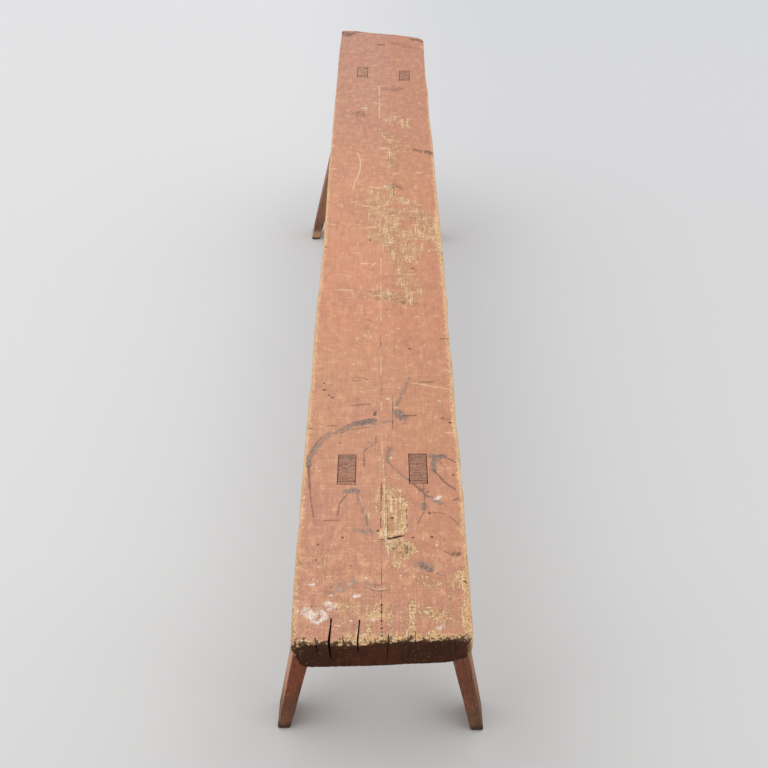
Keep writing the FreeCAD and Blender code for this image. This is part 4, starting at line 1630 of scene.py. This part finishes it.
    def fields(self, board: Piece) -> None:
        """Keeps, for each vertex, how worn, stained and dusty it is there."""
        points = mesh_points(board)
        places = self.seat_places(points)
        along = places[:, 1]
        left, right, near, far = (side / MM for side in self.outline(points))
        drop = (self.top - points[:, 2]) / MM
        below = drop > self.marked_depth
        values = self.mark_fields(places)
        for name, field in values.items():
            if name.endswith("_width"):
                field[below] = NO_LINE
            elif field.ndim == 1:
                field[below] = 0
        values["rim"] = np.zeros(len(points))
        for name, depth, rub, fall in (
            ("rim", left, follow(self.left_rub, along), self.side_fall),
            ("rim", right, follow(self.right_rub, along), self.side_fall),
            ("bare", near, follow(self.near_rub, places[:, 0]), self.end_fall),
            ("rim", far, self.far_rub, self.side_fall),
        ):
            inwards = np.hypot(np.maximum(depth, 0), np.maximum(drop, 0) * fall)
            worn = 1.1 - 0.9 * ramp(inwards, *(share * rub for share in self.rub_fade))
            values[name] = np.maximum(values[name], worn)
        end = np.minimum(near, far)
        front = np.hypot(np.maximum(near, 0), np.maximum(drop - 3, 0) * 0.8)
        corner = self.corner_crumbs.at(np.hypot(np.minimum(left, right), near))
        at_end = near < self.end_depth
        crumbs = self.end_crumbs
        stronger, wider = self.corner_more
        weaker = self.right_less * ramp(places[:, 0], 0, 40)
        crumbly = crumbs.strength - weaker + stronger * corner
        crumbs = Fade(crumbly, crumbs.full, crumbs.gone + wider * corner)
        values["crumbs"] = crumbs.at(front) * at_end
        flaked = self.flaked_corner.at(left) * at_end
        facing = ramp(self.end_facing(points), *self.end_grain_from)
        values["end_grain"] = facing * (1 - flaked)
        wane = np.where(left < right, follow(self.left_wane, drop), follow(self.right_wane, drop))
        under = np.maximum(ramp(drop, *self.bare_under), ramp(wane, *self.bare_wane)) * (end > 1)
        values["under"] = np.maximum(under, ramp(drop, *self.bare_end) * (near < 5))
        for name, field in values.items():
            set_field(board, name, field)

    def build(self) -> Piece:
        """Makes the finished plank.

        Returns:
            The piece that stands for the seat's node.
        """
        board = self.saw_board()
        board.data.materials.append(WornPaint().build("worn_paint_on_pine"))
        self.wear(board)
        cutters = [self.mortise_cutter(leg) for leg in LEGS]
        cutters += [self.split_cutter(split) for split in SPLITS]
        for line in DEEP_CRACKS:
            cutters += self.crack_cutters(line)
        wood = OldWood().build("old_wood_in_joints")
        for cutter in cutters:
            cutter.data.materials.append(wood)
        cut_away(board, cutters)
        self.fields(board)
        choose(board)
        bpy.ops.object.shade_smooth_by_angle(angle=math.radians(35))
        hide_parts("seat_plank")
        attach(board, BODY)
        return board


@dataclass
class Section:
    """A level cut through a leg.

    Attributes:
        low: Its lowest corner.
        high: Its highest corner.
    """

    low: Vector
    high: Vector

    @property
    def middle(self) -> Vector:
        """The middle of the cut."""
        return (self.low + self.high) / 2

    @property
    def size(self) -> Vector:
        """Its lengths along X and Y."""
        return self.high - self.low


@dataclass
class Leg:
    """One hewn leg: a foot that widens to a shoulder, and a tenon through the seat.

    Attributes:
        name: Which leg, as in its node's name.
        foot_out: How much further out than the solid its foot stands, across the bench.
        seed: Makes its unevenness its own.
        edge: Round of its long edges.
        sole_wear: Worn bevel about its sole.
        rings: Cuts along its length.
        deep_cuts: Cuts along its deeper side.
        wide_cuts: Cuts along its narrower side.
        uneven: How far its hewn faces stand in and out.
        faded: How much lighter the paint on its outer face is drawn, from 0 to 1: a
            painted highlight where the side light falls.
        sunned: How much the paint is bleached all over.
        bare_and_lit_foot: How much its foot has lost its paint and dirt, from 0 to 1, and is drawn
        pale there: bare wood with a painted highlight.
        joint: The joint's width between the tenon's end and each wedge.
        edge_rub: How bare its edges are rubbed, by millimetres in from them.
        foot_rub: How bare its foot is rubbed, by millimetres up from the floor.
        foot_band: How high that bare band with its painted highlight reaches, in the same way.
        sole_darkening: How much darker it is drawn close to the floor, in the same way.
        splashes: How dirty it is further up, in the same way.
    """

    name: str
    foot_out: float = 0.0
    seed: float = 0.0
    edge: float = 3 * MM
    sole_wear: float = 3.5 * MM
    rings: int = 84
    deep_cuts: int = 12
    wide_cuts: int = 5
    uneven: float = 0.5 * MM
    faded: float = 0.6
    sunned: float = 0.0
    bare_and_lit_foot: float = 0.0
    joint: float = 0.8 * MM
    edge_rub: Fade = Fade(0.6, 0.5, 4)
    foot_rub: Fade = Fade(0.7, 20, 130)
    foot_band: Fade = Fade(1.0, 19, 30)
    sole_darkening: Fade = Fade(0.95, 3, 26)
    splashes: Fade = Fade(0.45, 50, 160)

    def __post_init__(self) -> None:
        """Reads the leg's sections from the frame."""
        self.shoulder_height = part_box("seat_plank")[0].z
        self.foot = self.section(self.sole_wear)
        self.shoulder = self.section(self.shoulder_height)
        self.tenon = self.section(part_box(f"{self.name}_leg")[1].z)

    def section(self, height: float) -> Section:
        """The box of the solid's level cut at a height where it has corners."""
        points = mesh_points(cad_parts[f"{self.name}_leg"])
        points = points[np.abs(points[:, 2] - height) < 0.1 * MM]
        return Section(Vector(points.min(axis=0)), Vector(points.max(axis=0)))

    def slope(self) -> float:
        """How far the leg's inner face moves across for each metre of height."""
        end = "low" if self.foot.middle.x > 0 else "high"
        rise = self.shoulder_height - self.sole_wear
        return (getattr(self.shoulder, end).x - getattr(self.foot, end).x) / rise

    def hew(self) -> Piece:
        """Hews the leg: a block widened upwards, with a tenon drawn out of its shoulder."""
        out = math.copysign(self.foot_out, self.foot.middle.x)
        low = (self.foot.low.x + out, self.foot.low.y, 0)
        high = (self.foot.high.x + out, self.foot.high.y, self.shoulder_height)
        piece = block(f"{self.name}_leg_painted", low, high)
        bpy.ops.object.mode_set(mode="EDIT")
        select_where(piece, "FACE", lambda place, normal: normal.z > 0.9)
        middle = (self.foot.middle.x + out, self.foot.middle.y, self.shoulder_height)
        wide, deep = (self.shoulder.size[i] / self.foot.size[i] for i in (0, 1))
        bpy.ops.transform.resize(value=(wide, deep, 1), center_override=middle)
        shift = self.shoulder.middle - Vector(middle)
        bpy.ops.transform.translate(value=(shift.x, shift.y, 0))
        tall = self.tenon.middle.z - self.shoulder_height
        lean = self.slope() * tall
        bpy.ops.mesh.extrude_region_move(TRANSFORM_OT_translate={"value": (0, 0, 0)})
        wide, deep = (self.tenon.size[i] / self.shoulder.size[i] for i in (0, 1))
        middle = (self.shoulder.middle.x, self.shoulder.middle.y, self.shoulder_height)
        bpy.ops.transform.resize(value=(wide, deep, 1), center_override=middle)
        shift = self.tenon.middle - self.shoulder.middle
        bpy.ops.transform.translate(value=(shift.x - lean, shift.y, 0))
        bpy.ops.mesh.extrude_region_move(TRANSFORM_OT_translate={"value": (lean, 0, tall)})
        short = 1 - 2 * self.joint / self.tenon.size.y
        bpy.ops.transform.resize(value=(1, short, 1), center_override=self.tenon.middle)
        half = self.shoulder_height / 2

        def upright(place: Vector, run: Vector) -> bool:
            """Whether an edge runs along the leg below its shoulder."""
            return abs(run.z) > 0.9 and abs(place.z - half) < half / 2

        select_where(piece, "EDGE", upright)
        bpy.ops.mesh.bevel(offset=self.edge, segments=3, affect="EDGES")
        select_where(piece, "EDGE", lambda place, run: place.z < 0.1 * MM and abs(run.z) < 0.1)
        bpy.ops.mesh.bevel(offset=self.sole_wear, segments=3, affect="EDGES")
        select_where(piece, "EDGE", upright)
        bpy.ops.mesh.subdivide(number_cuts=self.rings)
        body = self.shoulder_height + 0.1 * MM
        for axis, cuts in ((1, self.deep_cuts), (0, self.wide_cuts)):
            select_where(piece, "EDGE", lambda place, run: abs(run[axis]) > 0.98 and place.z < body)
            bpy.ops.mesh.subdivide(number_cuts=cuts)
        bpy.ops.mesh.select_all(action="SELECT")
        bpy.ops.mesh.normals_make_consistent(inside=False)
        bpy.ops.object.mode_set(mode="OBJECT")
        return piece

    def roughen(self, piece: Piece) -> None:
        """Gives the hewn faces their unevenness, fading out at the sole and the shoulder."""
        points = mesh_points(piece)
        lumps = noise_at(points, (22 * MM, 22 * MM, 70 * MM), self.seed)
        dents = noise_at(points, (7 * MM, 7 * MM, 16 * MM), self.seed + 9)
        height = points[:, 2]
        top = self.shoulder_height
        fade = ramp(height, 0, 15 * MM) * Fade(1.0, top - 12 * MM, top).at(height)
        amount = self.uneven * (lumps + 0.4 * dents) * fade
        move_points(piece, points + amount[:, None] * mesh_normals(piece))

    def fields(self, piece: Piece) -> None:
        """Keeps each vertex's place along the grain and how rubbed and dirty it is."""
        points = mesh_points(piece)
        height = points[:, 2]
        share = np.clip(height / self.shoulder_height, 0, 1)[:, None]
        out = np.array((math.copysign(self.foot_out, self.foot.middle.x), 0, 0))
        low, high = (
            (np.array(foot) + out) * (1 - share) + np.array(shoulder) * share
            for foot, shoulder in (
                (self.foot.low, self.shoulder.low),
                (self.foot.high, self.shoulder.high),
            )
        )
        place = points - (low + high) / 2
        place[:, 2] = height
        set_field(piece, "leg_place", place + self.seed)
        inside = np.minimum(points - low, high - points)
        edge = np.maximum(inside[:, 0], inside[:, 1]) / MM
        height = height / MM
        bare = np.maximum(self.edge_rub.at(edge), self.foot_rub.at(height))
        # The foot's pale band is bare wood with a painted highlight.
        foot = self.bare_and_lit_foot * ramp(height, 3, 8) * self.foot_band.at(height)
        set_field(piece, "bare", np.maximum(bare, 1.2 * foot))
        # Darker close to the floor, with dirt splashed further up.
        dirt = np.maximum(self.sole_darkening.at(height), self.splashes.at(height))
        set_field(piece, "dirt", dirt * (1 - foot))
        set_field(piece, "pale", foot)
        # The outer face is drawn lighter: a painted highlight where the side light falls.
        outward = mesh_normals(piece)[:, 0] * math.copysign(1, self.foot.middle.x)
        set_field(piece, "faded", np.maximum(self.faded * ramp(outward, 0.5, 0.95), self.sunned))

    def build(self, paint: Material, ends: Material) -> Piece:
        """Makes the finished leg.

        Args:
            paint: The paint on its body.
            ends: The finish on its tenon's end.

        Returns:
            The piece that stands for the leg's node.
        """
        piece = self.hew()
        self.roughen(piece)
        self.fields(piece)
        piece.data.materials.append(paint)
        piece.data.materials.append(ends)
        top = self.tenon.middle.z - 0.5 * MM
        for face in piece.data.polygons:
            face.material_index = int(face.center.z > top)
        choose(piece)
        bpy.ops.object.shade_smooth_by_angle(angle=math.radians(40))
        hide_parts(f"{self.name}_leg")
        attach(piece, BODY)
        return piece


@dataclass
class Legs:
    """The four legs and the wedges that lock their tenons."""

    def build(self) -> list[Piece]:
        """Makes the legs, and finishes the wedges, whose solids stay."""
        paint = LegPaint().build("worn_paint_on_legs")
        pieces = []
        for leg, tone, inner_tone in (
            # The outer faces' lighter paint is a painted highlight, fullest on the near left leg, which
            # the light reaches from the left.
            (Leg("near_left", foot_out=3 * MM, seed=1.3, faded=1.0), "#b78572", "#937c71"),
            (Leg("near_right", seed=4.7, sunned=0.2), "#ab7d68", "#a27663"),
            (Leg("far_left", foot_out=6 * MM, seed=7.9, sunned=0.62, bare_and_lit_foot=0.9), "#d4a48b", "#d4a48b"),
            (Leg("far_right", seed=11.2, sunned=0.5), "#bd8c76", "#b78671"),
        ):
            ends = EndGrain(tone).build(f"painted_end_grain_{leg.name}")
            stained = EndGrain(inner_tone).build(f"stained_end_grain_{leg.name}")
            pieces.append(leg.build(paint, ends))
            for end, finish in (("end", ends), ("inner", stained)):
                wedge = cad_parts[f"{leg.name}_{end}_wedge"]
                for slot in wedge.material_slots:
                    slot.material = finish
                pieces.append(wedge)
        return pieces


@dataclass
class Studio:
    """A pale floor under plain soft light, and the camera.

    Attributes:
        floor_size: Length of the floor's sides.
        left_shading_tones: The floor's colour left of the bench, at places along it in metres:
            painted light and shade, darker towards the near end.
        right_shading_tones: The floor's colour right of the bench, at the same places: painted
            shade, darker than the left, where the light falls from the left.
        turn_from: Where, across the bench, the floor's colour starts to change, in metres.
        turn_to: Where it ends.
        ambient: How strong the light from all around is.
        backdrop: The colour that the camera and shiny surfaces see beyond the floor.
        lamps: Each soft lamp's power and the way that it shines.
        lamp_spread: How wide a lamp looks from the floor, in degrees.
    """

    floor_size: float = 60.0
    left_shading_tones: Tones = (
        (-1.5, "#d8d8d8"), (-0.5, "#e3e3e3"), (1.0, "#e4e4e5"), (3.0, "#e4e4e6"),
    )
    right_shading_tones: Tones = (
        (-1.5, "#d7d7d7"), (-0.5, "#dcdcdc"), (1.0, "#dadadc"), (3.0, "#d8d9dc"),
    )
    turn_from: float = -0.45
    turn_to: float = 0.45
    ambient: float = 0.5
    backdrop: str = "#e4e4e6"
    lamps: tuple[tuple[float, Triple], ...] = (
        (0.7, (0.05, -0.1, -1.0)),
        (0.65, (1.0, 0.1, -1.0)),
        (0.55, (-1.0, 0.1, -1.0)),
    )
    lamp_spread: float = 70.0

    def floor(self) -> Piece:
        """Lays the floor, its colour darker towards the near end and on the right: painted light and
        shade.
        """
        floor = start_piece(bpy.ops.mesh.primitive_plane_add, "floor", size=self.floor_size)
        material, tree = new_material("pale_studio_floor")
        place = add_node(tree, "TexCoord", out="Object")
        along = add_node(tree, "SeparateXYZ", {0: place}, out="Y")
        # Painted light and shade: the floor is drawn darker towards the near end and right of the bench.
        left, right = (tones_along(tree, along, side) for side in (self.left_shading_tones, self.right_shading_tones))
        sides = {0: along.node.outputs["X"], 1: self.turn_from, 2: self.turn_to}
        turn = add_node(tree, "MapRange", sides, **SMOOTH)
        tone = add_node(tree, "Mix", {0: turn, 6: left, 7: right}, **BLEND)
        add_surface(tree, tone, 0.9, shine=0.2)
        floor.data.materials.append(material)
        return floor

    def light(self) -> None:
        """Sets the soft lamps above and at the sides, and the pale surroundings."""
        world = bpy.data.worlds.new("pale_studio")
        bpy.context.scene.world = world
        world.use_nodes = True
        tree = world.node_tree
        tree.nodes.clear()
        rays = add_node(tree, "LightPath", out="Is Camera Ray")
        seen = rays
        for other in ("Is Glossy Ray", "Is Transmission Ray"):
            seen = add_node(tree, "Math", {0: seen, 1: rays.node.outputs[other]}, operation="MAXIMUM")
        lit = (self.ambient,) * 3 + (1,)
        colour = add_node(tree, "Mix", {0: seen, 6: lit, 7: self.backdrop}, **BLEND)
        background = add_node(tree, "Background", {"Color": colour, "Strength": 1.0})
        add_node(tree, "OutputWorld", {"Surface": background})
        for power, way in self.lamps:
            lamp_data = bpy.data.lights.new("soft_lamp", "SUN")
            lamp_data.angle = math.radians(self.lamp_spread)
            lamp_data.energy = power
            lamp = bpy.data.objects.new("soft_lamp", lamp_data)
            lamp.rotation_euler = Vector(way).to_track_quat("-Z", "Y").to_euler()
            bpy.context.scene.collection.objects.link(lamp)

    def camera(self) -> None:
        """Sets up the camera at the photograph's viewing angle."""
        data = bpy.data.cameras.new("camera")
        data.lens = VIEW.lens
        data.sensor_width = VIEW.sensor
        camera = bpy.data.objects.new("camera", data)
        camera.location = VIEW.place
        camera.rotation_euler = VIEW.turn
        bpy.context.scene.collection.objects.link(camera)
        bpy.context.scene.camera = camera

    def build(self) -> None:
        """Sets up the whole studio."""
        bpy.context.scene.view_settings.view_transform = "Standard"
        self.camera()
        self.floor()
        self.light()


def main() -> None:
    """Builds the studio and every piece, and logs each piece's number of faces."""
    logging.basicConfig(level=logging.INFO, format="%(message)s")
    Studio().build()
    pieces = [SeatPlank().build()] + Legs().build()
    for piece in pieces:
        log.info("%s: %d faces", piece.name, len(piece.data.polygons))


if __name__ == "__main__":
    main()
